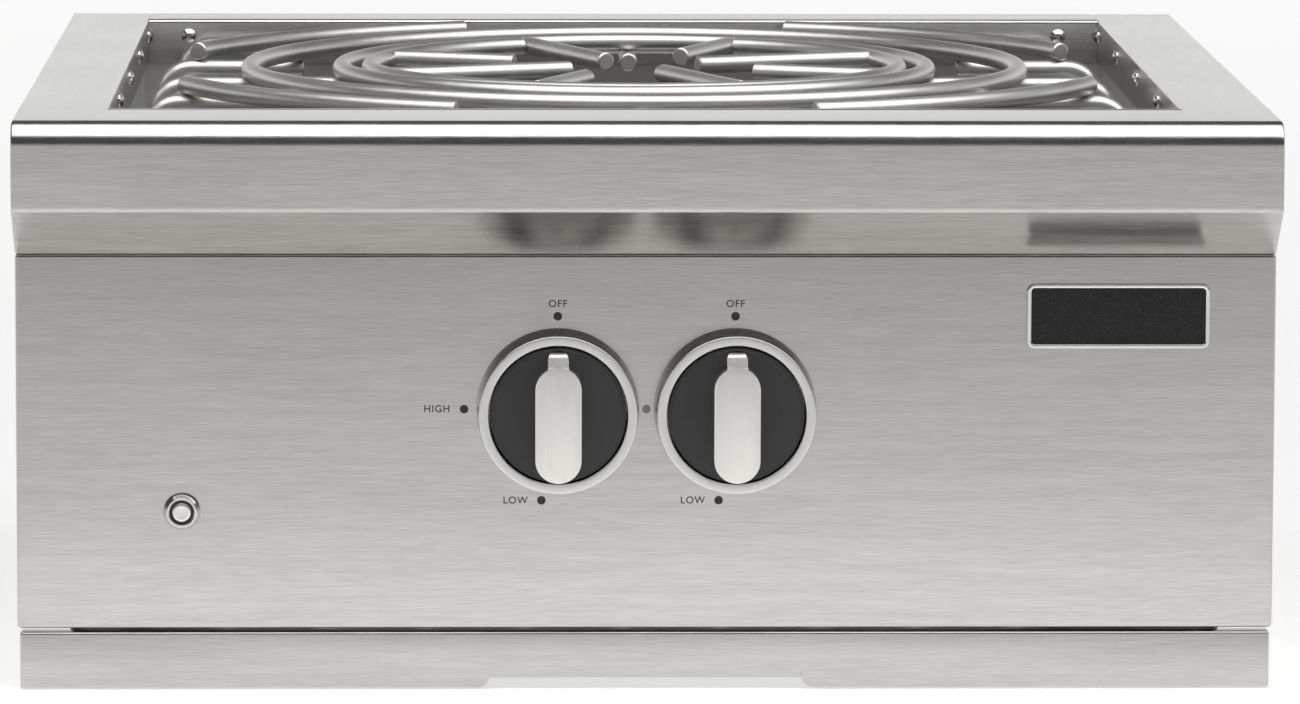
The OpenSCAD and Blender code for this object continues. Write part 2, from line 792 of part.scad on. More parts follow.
// Coil of round wire wound along +Z, with open ends
module coil(r, wire_r, l, turns) {
    sides = 8;
    steps = 20 * turns;
    points = [
        for (i = [0 : steps], j = [0 : sides - 1])
            let (a = 360 * turns * i / steps, b = 360 * j / sides, q = r + wire_r * cos(b))
            [q * cos(a), q * sin(a), l * i / steps + wire_r * sin(b)]
    ];
    faces = [
        for (i = [0 : steps - 1], j = [0 : sides - 1])
            let (k = (j + 1) % sides, p = i * sides, q = p + sides)
            [p + j, q + j, q + k, p + k]
    ];
    first = [for (j = [0 : sides - 1]) j];
    last = [for (j = [sides - 1 : -1 : 0]) steps * sides + j];
    polyhedron(points, concat(faces, [first, last]), convexity = 8);
}

module spring(sx) {
    color("dimgray") translate([sx * knob_x, spring_y0, knob_z]) rotate([-90, 0, 0])
        coil(spring_r, spring_wire_r, spring_l, spring_turns);
}

module valve(sx) {
    lug_w = 2 * valve_r;
    color("darkgoldenrod") translate([sx * knob_x, 0, 0]) difference() {
        union() {
            rod_y(0, valve_y, knob_z, valve_r, valve_l);
            block([-lug_w / 2 - 8, valve_y, knob_z - 8], [lug_w / 2 + 8, valve_y + 4, knob_z + 8]);
            translate([0, manifold_y, manifold_z]) cylinder(r = valve_neck_r, h = knob_z - manifold_z);
        }
        rod_y(0, valve_y - 1, knob_z, spring_bore_r, spring_bore_l + 1);
        rod_y(0, valve_y, knob_z, stem_r + stem_gap, valve_l - valve_floor);
        for (s = [-1, 1])
            rod_y(s * (lug_w / 2 + 3), valve_y - 1, knob_z, 2.2, 6);
        translate([-20, manifold_y, manifold_z]) rotate([0, 90, 0]) cylinder(r = pipe_r, h = 40);
    }
}

module orifices() {
    color("gold") for (sx = [-1, 1]) difference() {
        union() {
            translate([sx * knob_x, valve_y + valve_l, knob_z]) rotate([-90, 0, 0])
                cylinder(r = orifice_hex_r, h = orifice_hex_l, $fn = 6);
            rod_y(sx * knob_x, valve_y + valve_l + orifice_hex_l, knob_z, orifice_tip_r, orifice_tip_l);
        }
        rod_y(sx * knob_x, orifice_end - orifice_tip_l + 1, knob_z, 0.8, orifice_tip_l);
    }
}

module gas_manifold() {
    x1 = supply_x - supply_bend_r;
    color("darkgray") translate([0, manifold_y, manifold_z]) rotate([0, 90, 0]) difference() {
        translate([0, 0, manifold_x0]) cylinder(r = pipe_r, h = x1 - manifold_x0);
        translate([0, 0, manifold_x0 + pipe_wall]) cylinder(r = pipe_r - pipe_wall, h = x1 - manifold_x0);
    }
}

module supply_pipe() {
    bend_y = manifold_y + supply_bend_r;
    color("darkgray") {
        translate([supply_x - supply_bend_r, bend_y, manifold_z]) rotate([0, 0, -90])
            rotate_extrude(angle = 90) translate([supply_bend_r, 0]) difference() {
                circle(pipe_r);
                circle(pipe_r - pipe_wall);
            }
        difference() {
            union() {
                rod_y(supply_x, bend_y, manifold_z, pipe_r, back_y - inlet_l - bend_y);
                translate([supply_x, box_y1 + inlet_seat, manifold_z]) rotate([-90, 0, 0])
                    cylinder(r = inlet_hex_r, h = rear_inset - inlet_seat - inlet_l, $fn = 6);
                rod_y(supply_x, back_y - inlet_l, manifold_z, inlet_r, inlet_l);
            }
            rod_y(supply_x, bend_y - 1, manifold_z, pipe_r - pipe_wall, back_y - bend_y + 2);
        }
    }
}

// ---- Burners ----

module air_shutter(sx) {
    sleeve_in = mixer_r + shutter_gap;
    color("silver") translate([sx * knob_x, mixer_y0, mixer_z]) rotate([-90, 0, 0]) difference() {
        union() {
            cylinder(r = sleeve_in + shutter_wall, h = shutter_l);
            translate([0, 0, 3]) cylinder(r = shutter_flange_r, h = shutter_wall);
        }
        translate([0, 0, -1]) cylinder(r = sleeve_in, h = shutter_l + 2);
        for (a = [0, 180])
            rotate([0, 0, a]) translate([sleeve_in - 4, -5, 7]) cube([8, 10, 9]);
    }
}

module mixer_mouth() {
    difference() {
        rod_y(0, mixer_y0, mixer_z, mixer_r, shutter_l + 4);
        rod_y(0, mixer_y0 - 1, mixer_z, mixer_r - mixer_wall, shutter_l + 6);
        for (s = [-1, 1])
            translate([s * mixer_r - 4, mixer_y0 + 7, mixer_z - 5]) cube([8, 9, 10]);
    }
}

module pipe_section() {
    difference() {
        circle(mixer_r);
        circle(mixer_r - mixer_wall);
    }
}

module left_mixing_tube() {
    y0 = mixer_y0 + shutter_l + 4;
    bend_y = grate_y + outer_feed_y - mixer_bend_r;
    color("darkgray") translate([-knob_x, 0, 0]) {
        mixer_mouth();
        translate([0, bend_y, mixer_z]) rotate([90, 0, 0]) linear_extrude(bend_y - y0) pipe_section();
        translate([0, bend_y, mixer_z + mixer_bend_r]) rotate([0, 90, 0]) rotate([0, 0, 0])
            rotate_extrude(angle = 90) translate([mixer_bend_r, 0]) pipe_section();
        translate([0, bend_y + mixer_bend_r, mixer_z + mixer_bend_r])
            linear_extrude(bowl_z - mixer_z - mixer_bend_r) pipe_section();
    }
}

module right_mixing_tube() {
    y0 = mixer_y0 + shutter_l + 4;
    bend_y = grate_y - mixer_bend_r;
    color("darkgray") {
        translate([knob_x, 0, 0]) mixer_mouth();
        translate([knob_x, bend_y, mixer_z]) rotate([90, 0, 0]) linear_extrude(bend_y - y0) pipe_section();
        translate([knob_x - mixer_bend_r, bend_y, mixer_z])
            rotate_extrude(angle = 90) translate([mixer_bend_r, 0]) pipe_section();
        translate([knob_x - mixer_bend_r, grate_y, mixer_z + mixer_bend_r]) rotate([90, 0, 0])
            rotate([0, 0, 180]) rotate_extrude(angle = 90) translate([mixer_bend_r, 0]) pipe_section();
        translate([centre_feed_x, grate_y, mixer_z + mixer_bend_r])
            linear_extrude(bowl_z - mixer_z - mixer_bend_r) pipe_section();
    }
}

module outer_burner() {
    color("#5a5650") translate([0, grate_y, bowl_z]) difference() {
        rotate_extrude($fn = 96) polygon([
            [burner_inner_r, 0], [burner_r - 2, 0], [burner_r, 2], [burner_r, burner_h],
            [burner_r - bowl_wall, burner_h], [burner_r - bowl_wall, bowl_wall],
            [burner_inner_r + bowl_wall, bowl_wall], [burner_inner_r + bowl_wall, burner_h],
            [burner_inner_r, burner_h]
        ]);
        translate([-knob_x, outer_feed_y, -1]) cylinder(r = mixer_r - mixer_wall, h = bowl_wall + 2);
    }
}

module outer_burner_cap() {
    color("#4a4844") translate([0, grate_y, cap_z]) difference() {
        rotate_extrude($fn = 96) polygon([
            [burner_inner_r, 0], [burner_inner_r + bowl_wall, 0], [burner_inner_r + bowl_wall, port_h],
            [burner_r - bowl_wall, port_h], [burner_r - bowl_wall, 0], [burner_r, 0],
            [burner_r + 1, port_h], [burner_r - 3, cap_h], [burner_inner_r + 3, cap_h],
            [burner_inner_r - 1, port_h]
        ]);
        for (i = [0 : outer_ports - 1])
            rotate([0, 0, 360 * (i + 0.5) / outer_ports])
                translate([burner_r - bowl_wall - 1, -port_w / 2, -1]) cube([bowl_wall + 4, port_w, port_h]);
    }
}

module centre_burner() {
    color("#5a5650") translate([0, grate_y, bowl_z]) difference() {
        rotate_extrude() polygon([
            [0, 0], [centre_burner_r - 2, 0], [centre_burner_r, 2], [centre_burner_r, burner_h],
            [centre_burner_r - bowl_wall, burner_h], [centre_burner_r - bowl_wall, bowl_wall], [0, bowl_wall]
        ]);
        translate([centre_feed_x, 0, -1]) cylinder(r = mixer_r - mixer_wall, h = bowl_wall + 2);
    }
}

module centre_burner_cap() {
    color("#4a4844") translate([0, grate_y, cap_z]) difference() {
        rotate_extrude() polygon([
            [0, port_h], [centre_burner_r - bowl_wall, port_h], [centre_burner_r - bowl_wall, 0],
            [centre_burner_r, 0], [centre_burner_r + 1, port_h], [centre_burner_r - 4, cap_h],
            [9, cap_h], [7, cap_h - 1.5], [0, cap_h - 1.5]
        ]);
        for (i = [0 : centre_ports - 1])
            rotate([0, 0, 360 * i / centre_ports])
                translate([centre_burner_r - bowl_wall - 1, -port_w / 2, -1])
                    cube([bowl_wall + 4, port_w, port_h]);
    }
}

module burner_supports() {
    tab_h = 18;
    color("gray") for (sy = [-1, 1]) difference() {
        translate([0, grate_y + sy * support_y, 0]) {
            block([-liner_x, -support_w / 2, bowl_z - support_t], [liner_x, support_w / 2, bowl_z]);
            both_sides() block([liner_x - support_t, -support_w / 2, bowl_z - tab_h],
                [liner_x, support_w / 2, bowl_z]);
        }
        translate([electrode_x, electrode_y, bowl_z - support_t - 1])
            cylinder(r = electrode_r + electrode_gap, h = support_t + 2);
    }
}

// ---- Ignition ----

module button_collar() {
    color("silver") translate([-button_x, panel_y, button_z]) rotate([90, 0, 0]) difference() {
        rotate_extrude() polygon([
            [button_r + button_gap, -sleeve_l], [sleeve_r, -sleeve_l], [sleeve_r, 0], [collar_r, 0],
            [collar_r, 1], [collar_r - 0.8, collar_h - 1.4], [collar_face_r + 0.9, collar_h],
            [collar_face_r, collar_h - 0.5], [collar_face_r, 1], [button_r + button_gap, 1]
        ]);
    }
}

module ignition_button() {
    color("gainsboro") translate([-button_x, panel_y - collar_h + button_proud, button_z]) rotate([-90, 0, 0])
        rotate_extrude() polygon([
            [0, 0.3], [button_r - 1, 0], [button_r, 0.8], [button_r, button_l], [0, button_l]
        ]);
}

module ignition_module() {
    socket_l = sleeve_l - sheet_t;
    color("#2b2b2b") difference() {
        union() {
            rod_y(-button_x, panel_back, button_z, module_r, module_l);
            rod_y(-button_x, panel_back, button_z, module_r + 2, 5);
        }
        rod_y(-button_x, panel_back - 1, button_z, sleeve_r, socket_l + 1);
        rod_y(-button_x, panel_back + socket_l + 1, button_z, battery_r + 0.2, battery_l + 0.4);
    }
}

module ignition_battery() {
    y0 = panel_back + sleeve_l - sheet_t + 1;
    color("darkgreen") {
        rod_y(-button_x, y0, button_z, battery_r, battery_l - 1.5);
        rod_y(-button_x, y0, button_z, 2.6, battery_l);
    }
}

module spark_electrode() {
    tip_z = cap_z + 2;
    gap = 4;
    tip_l = electrode_out - gap;
    a = atan2(grate_y - electrode_y, -electrode_x);
    color("white") translate([electrode_x, electrode_y, 0]) {
        translate([0, 0, electrode_z0]) cylinder(r = electrode_r, h = cap_z - 8 - electrode_z0);
        translate([0, 0, bowl_z]) cylinder(r = electrode_r + 1.8, h = 3);
        translate([0, 0, cap_z - 9]) cylinder(r = 1, h = tip_z - cap_z + 9);
        translate([0, 0, tip_z]) sphere(1);
        translate([0, 0, tip_z]) rotate([0, 90, a]) cylinder(r = 1, h = tip_l);
    }
}

module spark_lead() {
    y0 = panel_back + module_l;
    color("white") {
        rod_y(-button_x, y0, button_z, lead_r, electrode_y - y0);
        translate([-button_x, electrode_y, button_z]) sphere(lead_r);
        translate([-button_x, electrode_y, button_z]) rotate([0, 90, 0])
            cylinder(r = lead_r, h = electrode_x + button_x);
        translate([electrode_x, electrode_y, button_z]) sphere(lead_r);
        translate([electrode_x, electrode_y, button_z]) cylinder(r = lead_r, h = electrode_z0 - button_z);
    }
}

// ---- Badge ----

module rounded_plate(w, h, r) {
    square([w - 2 * r, h], center = true);
    square([w, h - 2 * r], center = true);
    for (sx = [-1, 1], sz = [-1, 1])
        translate([sx * (w / 2 - r), sz * (h / 2 - r)]) circle(r);
}

module badge() {
    corner_r = 3.8;
    color("#2c2c2c") translate([badge_x, 0, top_z - badge_drop]) difference() {
        backwards(panel_y - badge_t, badge_t) rounded_plate(badge_w, badge_h, corner_r);
        backwards(panel_y - badge_t - 1, 2)
            rounded_plate(badge_w - 2 * badge_rim, badge_h - 2 * badge_rim, corner_r - badge_rim);
    }
}

// ---- Pairs ----

module left_knob_surround() {
    knob_surround(-1);
}

module right_knob_surround() {
    knob_surround(1);
}

module left_knob_disc() {
    knob_disc(-1);
}

module right_knob_disc() {
    knob_disc(1);
}

module left_knob_grip() {
    knob_grip(-1);
}

module right_knob_grip() {
    knob_grip(1);
}

module left_stem() {
    stem(-1);
}

module right_stem() {
    stem(1);
}

module left_thrust_collar() {
    thrust_collar(-1);
}

module right_thrust_collar() {
    thrust_collar(1);
}

module left_spring() {
    spring(-1);
}

module right_spring() {
    spring(1);
}

module left_valve() {
    valve(-1);
}

module right_valve() {
    valve(1);
}

module left_air_shutter() {
    air_shutter(-1);
}

module right_air_shutter() {
    air_shutter(1);
}

front_bezel();
bezel_end_caps();
left_flange();
right_flange();
rear_flange();
control_panel();
left_side_panel();
right_side_panel();
rear_panel();
left_liner();
right_liner();
rear_liner();
front_liner();
grate_ledges();
flange_screws();
rear_panel_screws();
tray_runners();
badge();
drip_tray_pan();
drip_tray_front();
outer_ring_arcs();
middle_ring();
inner_ring();
side_bars();
end_bars();
centre_bars();
centre_ring();
centre_fingers();
left_knob_surround();
right_knob_surround();
left_knob_disc();
right_knob_disc();
left_knob_grip();
right_knob_grip();
left_stem();
right_stem();
left_thrust_collar();
right_thrust_collar();
left_spring();
right_spring();
left_valve();
right_valve();
orifices();
gas_manifold();
supply_pipe();
left_air_shutter();
right_air_shutter();
left_mixing_tube();
right_mixing_tube();
outer_burner();
outer_burner_cap();
centre_burner();
centre_burner_cap();
burner_supports();
button_collar();
ignition_button();
ignition_module();
ignition_battery();
spark_electrode();
spark_lead();
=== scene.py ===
import json
import math
import bpy
import bmesh
from mathutils import Matrix, Vector


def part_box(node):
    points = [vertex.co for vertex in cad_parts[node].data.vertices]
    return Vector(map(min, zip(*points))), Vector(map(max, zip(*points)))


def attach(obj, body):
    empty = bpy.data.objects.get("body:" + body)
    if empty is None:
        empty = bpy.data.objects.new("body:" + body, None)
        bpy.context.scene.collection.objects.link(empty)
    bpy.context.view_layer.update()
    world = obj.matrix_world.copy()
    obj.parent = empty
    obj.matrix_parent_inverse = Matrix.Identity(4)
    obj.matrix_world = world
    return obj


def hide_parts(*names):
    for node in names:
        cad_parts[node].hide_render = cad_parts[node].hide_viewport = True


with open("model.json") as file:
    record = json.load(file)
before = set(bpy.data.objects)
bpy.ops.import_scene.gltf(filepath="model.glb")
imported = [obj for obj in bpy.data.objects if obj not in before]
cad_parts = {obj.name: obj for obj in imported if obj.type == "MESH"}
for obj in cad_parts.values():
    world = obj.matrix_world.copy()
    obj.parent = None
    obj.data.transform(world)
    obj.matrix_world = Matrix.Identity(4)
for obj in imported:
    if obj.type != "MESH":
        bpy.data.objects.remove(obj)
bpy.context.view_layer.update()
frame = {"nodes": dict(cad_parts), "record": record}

record = frame["record"]
slotOf = {part["node"]: part["material_slot"] for part in record["subparts"]}
bodyOf = {node: body for body, nodes in record["behaviour"]["bodies"].items() for node in nodes}
print("frame loaded:", len(frame["nodes"]), "nodes")


# ---- camera, floor and light ----

view = {
    "place": (-0.0899, -4.0692, 0.6480),
    "pitch": 7.251,          # degrees below the horizon
    "yaw": 1.383,            # degrees towards +X
    "roll": 0.168,
    "lens": 218.8,
}


def makeCamera():
    data = bpy.data.cameras.new("camera")
    data.sensor_width = 36
    data.lens = view["lens"]
    data.clip_start = 0.05
    data.clip_end = 100
    camera = bpy.data.objects.new("camera", data)
    turn = (
        Matrix.Rotation(math.radians(-view["yaw"]), 4, "Z")
        @ Matrix.Rotation(math.radians(90 - view["pitch"]), 4, "X")
        @ Matrix.Rotation(math.radians(view["roll"]), 4, "Z")
    )
    camera.matrix_world = Matrix.Translation(view["place"]) @ turn
    bpy.context.scene.collection.objects.link(camera)
    bpy.context.scene.camera = camera


# A socket whose arithmetic adds Math nodes
class Wire:
    def __init__(self, finish, socket):
        self.finish = finish
        self.socket = socket

    def join(self, operation, first, second):
        return self.finish.node("ShaderNodeMath", {"operation": operation}, {0: first, 1: second})

    def __add__(self, other):
        return self.join("ADD", self, other)

    def __radd__(self, other):
        return self.join("ADD", other, self)

    def __sub__(self, other):
        return self.join("SUBTRACT", self, other)

    def __rsub__(self, other):
        return self.join("SUBTRACT", other, self)

    def __mul__(self, other):
        return self.join("MULTIPLY", self, other)

    def __rmul__(self, other):
        return self.join("MULTIPLY", other, self)

    def __truediv__(self, other):
        return self.join("DIVIDE", self, other)

    def __pow__(self, other):
        return self.join("POWER", self, other)


# A node tree that is written as expressions
class Finish:
    def __init__(self, tree):
        self.tree = tree

    def plug(self, value, target):
        if isinstance(value, Wire):
            self.tree.links.new(value.socket, target)
        else:
            target.default_value = value

    def node(self, kind, settings=None, sockets=None, output=0):
        made = self.tree.nodes.new(kind)
        for key, value in (settings or {}).items():
            if key == "stops":
                while len(made.color_ramp.elements) < len(value):
                    made.color_ramp.elements.new(0.5)
                for element, (place, colour) in zip(made.color_ramp.elements, value):
                    element.position = place
                    element.color = (*colour, 1)
            else:
                setattr(made, key, value)
        for key, value in (sockets or {}).items():
            self.plug(value, made.inputs[key])
        return Wire(self, made.outputs[output])

    def coordinates(self):
        return self.node("ShaderNodeTexCoord", output="Object")

    def mapped(self, vector, scale=(1, 1, 1), move=(0, 0, 0)):
        return self.node("ShaderNodeMapping", None, {"Vector": vector, "Scale": scale, "Location": move})

    def noise(self, vector, scale=1, detail=2, roughness=0.5):
        sockets = {"Vector": vector, "Scale": scale, "Detail": detail, "Roughness": roughness}
        return self.node("ShaderNodeTexNoise", {"noise_dimensions": "3D"}, sockets)

    def spread(self, value, low, high, newLow=0, newHigh=1):
        sockets = {"Value": value, "From Min": low, "From Max": high, "To Min": newLow, "To Max": newHigh}
        return self.node("ShaderNodeMapRange", {"interpolation_type": "SMOOTHSTEP"}, sockets)

    def split(self, vector, axis):
        return self.node("ShaderNodeSeparateXYZ", None, {0: vector}, output="XYZ".index(axis))

    # The colour sockets of a Mix node are its inputs 6 and 7 and its output 2
    def mixColour(self, mask, first, second, blend="MIX"):
        first, second = [(*side, 1) if isinstance(side, tuple) else side for side in (first, second)]
        settings = {"data_type": "RGBA", "blend_type": blend}
        return self.node("ShaderNodeMix", settings, {0: mask, 6: first, 7: second}, output=2)

    # Two shades of a colour, mixed where a noise runs from one edge to the other
    def shades(self, noise, colour, spread, edges=(0.3, 0.7)):
        mask = self.spread(noise, *edges)
        return self.mixColour(mask, shade(colour, 1 - spread), shade(colour, 1 + spread))


# The edges are the direction components between which one part of the sky fades into the next
light = {
    "behindEdge": (-0.15, 0.35),
    "lowEdge": (0.20, 0.42),
    "frontLowEdge": (0.02, 0.18),
    "skyBehind": 0.97,
    "skyHigh": 0.10,
    "skyFront": 0.08,
    "skyFrontLow": 0.80,
    "lamps": {
        "overhead": {"size": (4.2, 2.0), "place": (0.70, -0.66, 1.75), "radiance": 2.4},
        "fill": {"size": (26.0, 18.0), "place": (2.0, 7.0, 5.0), "radiance": 0.50},
        "foot_fill": {"size": (0.95, 0.12), "place": (0.02, -0.36, 0.28), "radiance": 2.7},
        "near_fill": {"size": (1.3, 0.6), "place": (0.15, -0.75, 0.9), "radiance": 0.35},
    },
    "mirrored": ("overhead",),
    "floorGlow": 0.49,
    "floorSize": 60.0,
    "floorColour": (0.86, 0.86, 0.855),
    "floorRoughness": 0.95,
}


# Area lights that are either seen in mirrors or light matt surfaces
def makeLamps():
    for name, lamp in light["lamps"].items():
        data = bpy.data.lights.new(name, "AREA")
        data.shape = "RECTANGLE"
        data.size, data.size_y = lamp["size"]
        data.energy = lamp["radiance"] * math.pi * data.size * data.size_y
        made = bpy.data.objects.new(name, data)
        made.location = lamp["place"]
        made.visible_camera = False
        made.visible_glossy = name in light["mirrored"]
        made.visible_diffuse = name not in light["mirrored"]
        bpy.context.scene.collection.objects.link(made)


def makeSky():
    world = bpy.data.worlds.new("studio")
    world.use_nodes = True
    sky = Finish(world.node_tree)
    direction = sky.node("ShaderNodeTexCoord", output="Generated")
    behind = sky.spread(sky.split(direction, "Y"), *light["behindEdge"])
    height = sky.split(direction, "Z")
    low = 1 - sky.spread(height, *light["lowEdge"])
    frontLow = 1 - sky.spread(height, *light["frontLowEdge"])
    strength = light["skyFront"] + (light["skyHigh"] - light["skyFront"]) * behind
    strength = strength + behind * low * (light["skyBehind"] - light["skyHigh"])
    strength = strength + (1 - behind) * frontLow * (light["skyFrontLow"] - light["skyFront"])
    sky.plug(strength, world.node_tree.nodes["Background"].inputs["Strength"])
    world.node_tree.nodes["Background"].inputs["Color"].default_value = (1, 1, 1, 1)
    bpy.context.scene.world = world


def makeFloor():
    mesh = bmesh.new()
    bmesh.ops.create_grid(mesh, x_segments=1, y_segments=1, size=light["floorSize"] / 2)
    data = bpy.data.meshes.new("floor")
    mesh.to_mesh(data)
    mesh.free()
    ground = bpy.data.objects.new("floor", data)
    bpy.context.scene.collection.objects.link(ground)
    material = bpy.data.materials.new("pale_floor")
    material.use_nodes = True
    shader = material.node_tree.nodes["Principled BSDF"]
    shader.inputs["Base Color"].default_value = (*light["floorColour"], 1)
    shader.inputs["Roughness"].default_value = light["floorRoughness"]
    shader.inputs["Specular IOR Level"].default_value = 0.0
    shader.inputs["Emission Color"].default_value = (1, 1, 1, 1)
    shader.inputs["Emission Strength"].default_value = light["floorGlow"]
    data.materials.append(material)


makeCamera()
makeSky()
makeFloor()
makeLamps()
bpy.context.scene.view_settings.view_transform = "Standard"
print("camera, floor and light made")


# ---- finishes ----

def newFinish(name, **uniform):
    material = bpy.data.materials.new(name)
    material.use_nodes = True
    finish = Finish(material.node_tree)
    finish.material = material
    finish.shader = material.node_tree.nodes["Principled BSDF"]
    for key, value in uniform.items():
        finish.shader.inputs[key.replace("_", " ")].default_value = value
    return finish


def setShader(finish, **values):
    for key, value in values.items():
        if isinstance(value, tuple) and len(value) == 3:
            value = (*value, 1)
        finish.plug(value, finish.shader.inputs[key.replace("_", " ")])


def bumped(finish, height, depth, strength=1.0):
    sockets = {"Strength": strength, "Distance": depth, "Height": height}
    setShader(finish, Normal=finish.node("ShaderNodeBump", None, sockets))


def shade(colour, factor):
    return tuple(min(1, part * factor) for part in colour)


brushed = {
    "fineShare": 0.6,
    "streakShare": 0.4,
    "toneEdge": (0.28, 0.72),
    "patchScale": 7,
    "grainRoughness": 0.16,
    "patchRoughness": 0.06,
    "fineDepth": 0.75,
    "streakDepth": 0.25,
    "grainLength": 0.014,
    "grainWidth": 0.00055,
    "streakLength": 0.084,
    "streakWidth": 0.005,
    "grainDepth": 0.000016,
}


# Sheet or rod with fine lines brushed along one axis
def brushedSteel(name, colour, along, roughness=0.20, depth=1.0, contrast=0.05, cloud=0.02, metallic=1.0):
    finish = newFinish(name, Metallic=metallic)
    across = 1 / brushed["grainWidth"]
    scale = [across] * 3
    scale["XYZ".index(along)] = 1 / brushed["grainLength"]
    place = finish.coordinates()
    fine = finish.noise(finish.mapped(place, scale), detail=2, roughness=0.6)
    wide = [1 / brushed["streakWidth"]] * 3
    wide["XYZ".index(along)] = 1 / brushed["streakLength"]
    streak = finish.noise(finish.mapped(place, wide), detail=3, roughness=0.7)
    patch = finish.noise(place, scale=brushed["patchScale"], detail=2)
    grain = fine * brushed["fineShare"] + streak * brushed["streakShare"]
    base = finish.shades(grain, colour, contrast, brushed["toneEdge"])
    white = (1.0, 1.0, 1.0)
    cloudTone = finish.mixColour(finish.spread(patch, 0.3, 0.7), shade(white, 1 - cloud), white)
    base = finish.mixColour(1.0, base, cloudTone, "MULTIPLY")
    grainStep = (grain - 0.5) * brushed["grainRoughness"]
    patchStep = (patch - 0.5) * brushed["patchRoughness"]
    setShader(finish, Base_Color=base, Roughness=roughness + grainStep + patchStep)
    height = fine * brushed["fineDepth"] + streak * brushed["streakDepth"]
    bumped(finish, height, brushed["grainDepth"] * depth)
    return finish.material


# Metal with an even, slightly clouded surface
def plainMetal(name, colour, roughness, depth=0.00001, size=900, cloud=0.05):
    finish = newFinish(name, Metallic=1.0)
    place = finish.coordinates()
    fine = finish.noise(place, scale=size, detail=3, roughness=0.6)
    patch = finish.noise(place, scale=22, detail=3)
    base = finish.shades(patch, colour, cloud)
    setShader(finish, Base_Color=base, Roughness=roughness + (fine - 0.5) * 0.10 + (patch - 0.5) * 0.08)
    bumped(finish, fine, depth)
    return finish.material


# Lathe-turned or brushed round a Y axis through a centre
def turnedMetal(name, colour, centre, roughness, pitch=0.00025, depth=0.000006, contrast=0.04):
    finish = newFinish(name, Metallic=1.0)
    place = finish.mapped(finish.coordinates(), move=(-centre.x, 0, -centre.z))
    across = finish.split(place, "X")
    up = finish.split(place, "Z")
    radius = (across * across + up * up) ** 0.5
    level = finish.split(place, "Y")
    sockets = {0: radius * (1 / pitch), 1: level * (1 / pitch), 2: 0.0}
    ring = finish.node("ShaderNodeCombineXYZ", None, sockets)
    fine = finish.noise(ring, scale=1, detail=2)
    patch = finish.noise(place, scale=60, detail=2)
    base = finish.shades(fine, colour, contrast)
    setShader(finish, Base_Color=base, Roughness=roughness + (fine - 0.5) * 0.12 + (patch - 0.5) * 0.06)
    bumped(finish, fine, depth)
    return finish.material


# Moulded plastic, ceramic or paint, with a fine texture
def moulded(name, colour, roughness, depth=0.00003, size=1400, speck=0.25, coat=0.0):
    finish = newFinish(name, Coat_Roughness=0.15)
    place = finish.coordinates()
    fine = finish.noise(place, scale=size, detail=2, roughness=0.7)
    patch = finish.noise(place, scale=30, detail=2)
    base = finish.shades(fine * 0.6 + patch * 0.4, colour, speck)
    setShader(finish, Base_Color=base, Roughness=roughness + (fine - 0.5) * 0.12, Coat_Weight=coat)
    bumped(finish, fine, depth)
    return finish.material


# Sand-cast metal, with grit and darker hollows
def castMetal(name, colour, roughness, metallic, depth=0.00018):
    finish = newFinish(name, Metallic=metallic)
    place = finish.coordinates()
    grit = finish.noise(place, scale=700, detail=4, roughness=0.65)
    patch = finish.noise(place, scale=45, detail=4, roughness=0.6)
    base = finish.mixColour(finish.spread(patch, 0.3, 0.7), shade(colour, 0.75), shade(colour, 1.2))
    setShader(finish, Base_Color=base, Roughness=roughness + (grit - 0.5) * 0.2)
    bumped(finish, grit * 0.7 + patch * 0.5, depth)
    return finish.material


tone = {
    "steel": (0.52, 0.512, 0.496),
    "steelBright": (0.66, 0.652, 0.635),
    "inner": (0.62, 0.615, 0.605),
    "rod": (0.66, 0.645, 0.62),
    "black": (0.017, 0.017, 0.018),
    "brass": (0.62, 0.44, 0.18),
    "iron": (0.055, 0.052, 0.048),
}

leftKnobAxis = sum(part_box("left_knob_disc"), Vector()) / 2
rightKnobAxis = sum(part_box("right_knob_disc"), Vector()) / 2
buttonAxis = sum(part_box("button_collar"), Vector()) / 2

steelAlongX = brushedSteel("steel_brushed_across", tone["steel"], "X", depth=1.7, contrast=0.13)
steelAlongY = brushedSteel("steel_brushed_front_to_back", tone["steel"], "Y")
fasciaSteel = brushedSteel("fascia_steel", tone["steel"], "X", roughness=0.20, depth=1.1, contrast=0.11)
innerSteel = brushedSteel("inner_sheet_steel", tone["inner"], "X", roughness=0.45, depth=0.7, cloud=0.06,
                          metallic=0.45)
rodSteel = plainMetal("rod_steel", tone["rod"], 0.40, depth=0.000025, size=1300, cloud=0.08)
screwSteel = plainMetal("screw_steel", tone["steelBright"], 0.16, depth=0.000002)
wireSteel = plainMetal("spring_wire_steel", (0.36, 0.355, 0.35), 0.30)
pipeZinc = plainMetal("zinc_plated_pipe", (0.46, 0.465, 0.46), 0.38, depth=0.00003, cloud=0.12)
tubeSteel = plainMetal("drawn_tube_steel", (0.47, 0.46, 0.44), 0.30, cloud=0.10)
valveBrass = plainMetal("machined_brass", tone["brass"], 0.24, cloud=0.10)
burnerIron = castMetal("burner_cast_iron", tone["iron"], 0.70, 0.25)
discBlack = moulded("knob_disc_black", tone["black"], 0.42)
inkBlack = moulded("dial_ink_black", (0.02, 0.02, 0.021), 0.6, depth=0.000002)
inkGrey = moulded("dial_ink_grey", (0.24, 0.24, 0.235), 0.6, depth=0.000002)
modulePlastic = moulded("module_plastic_black", (0.02, 0.02, 0.022), 0.5, depth=0.00005)
batteryPaint = moulded("battery_paint", (0.03, 0.13, 0.07), 0.35, depth=0.000004, coat=0.6)
whiteCeramic = moulded("white_ceramic", (0.78, 0.765, 0.72), 0.25, depth=0.00001, speck=0.04, coat=0.5)

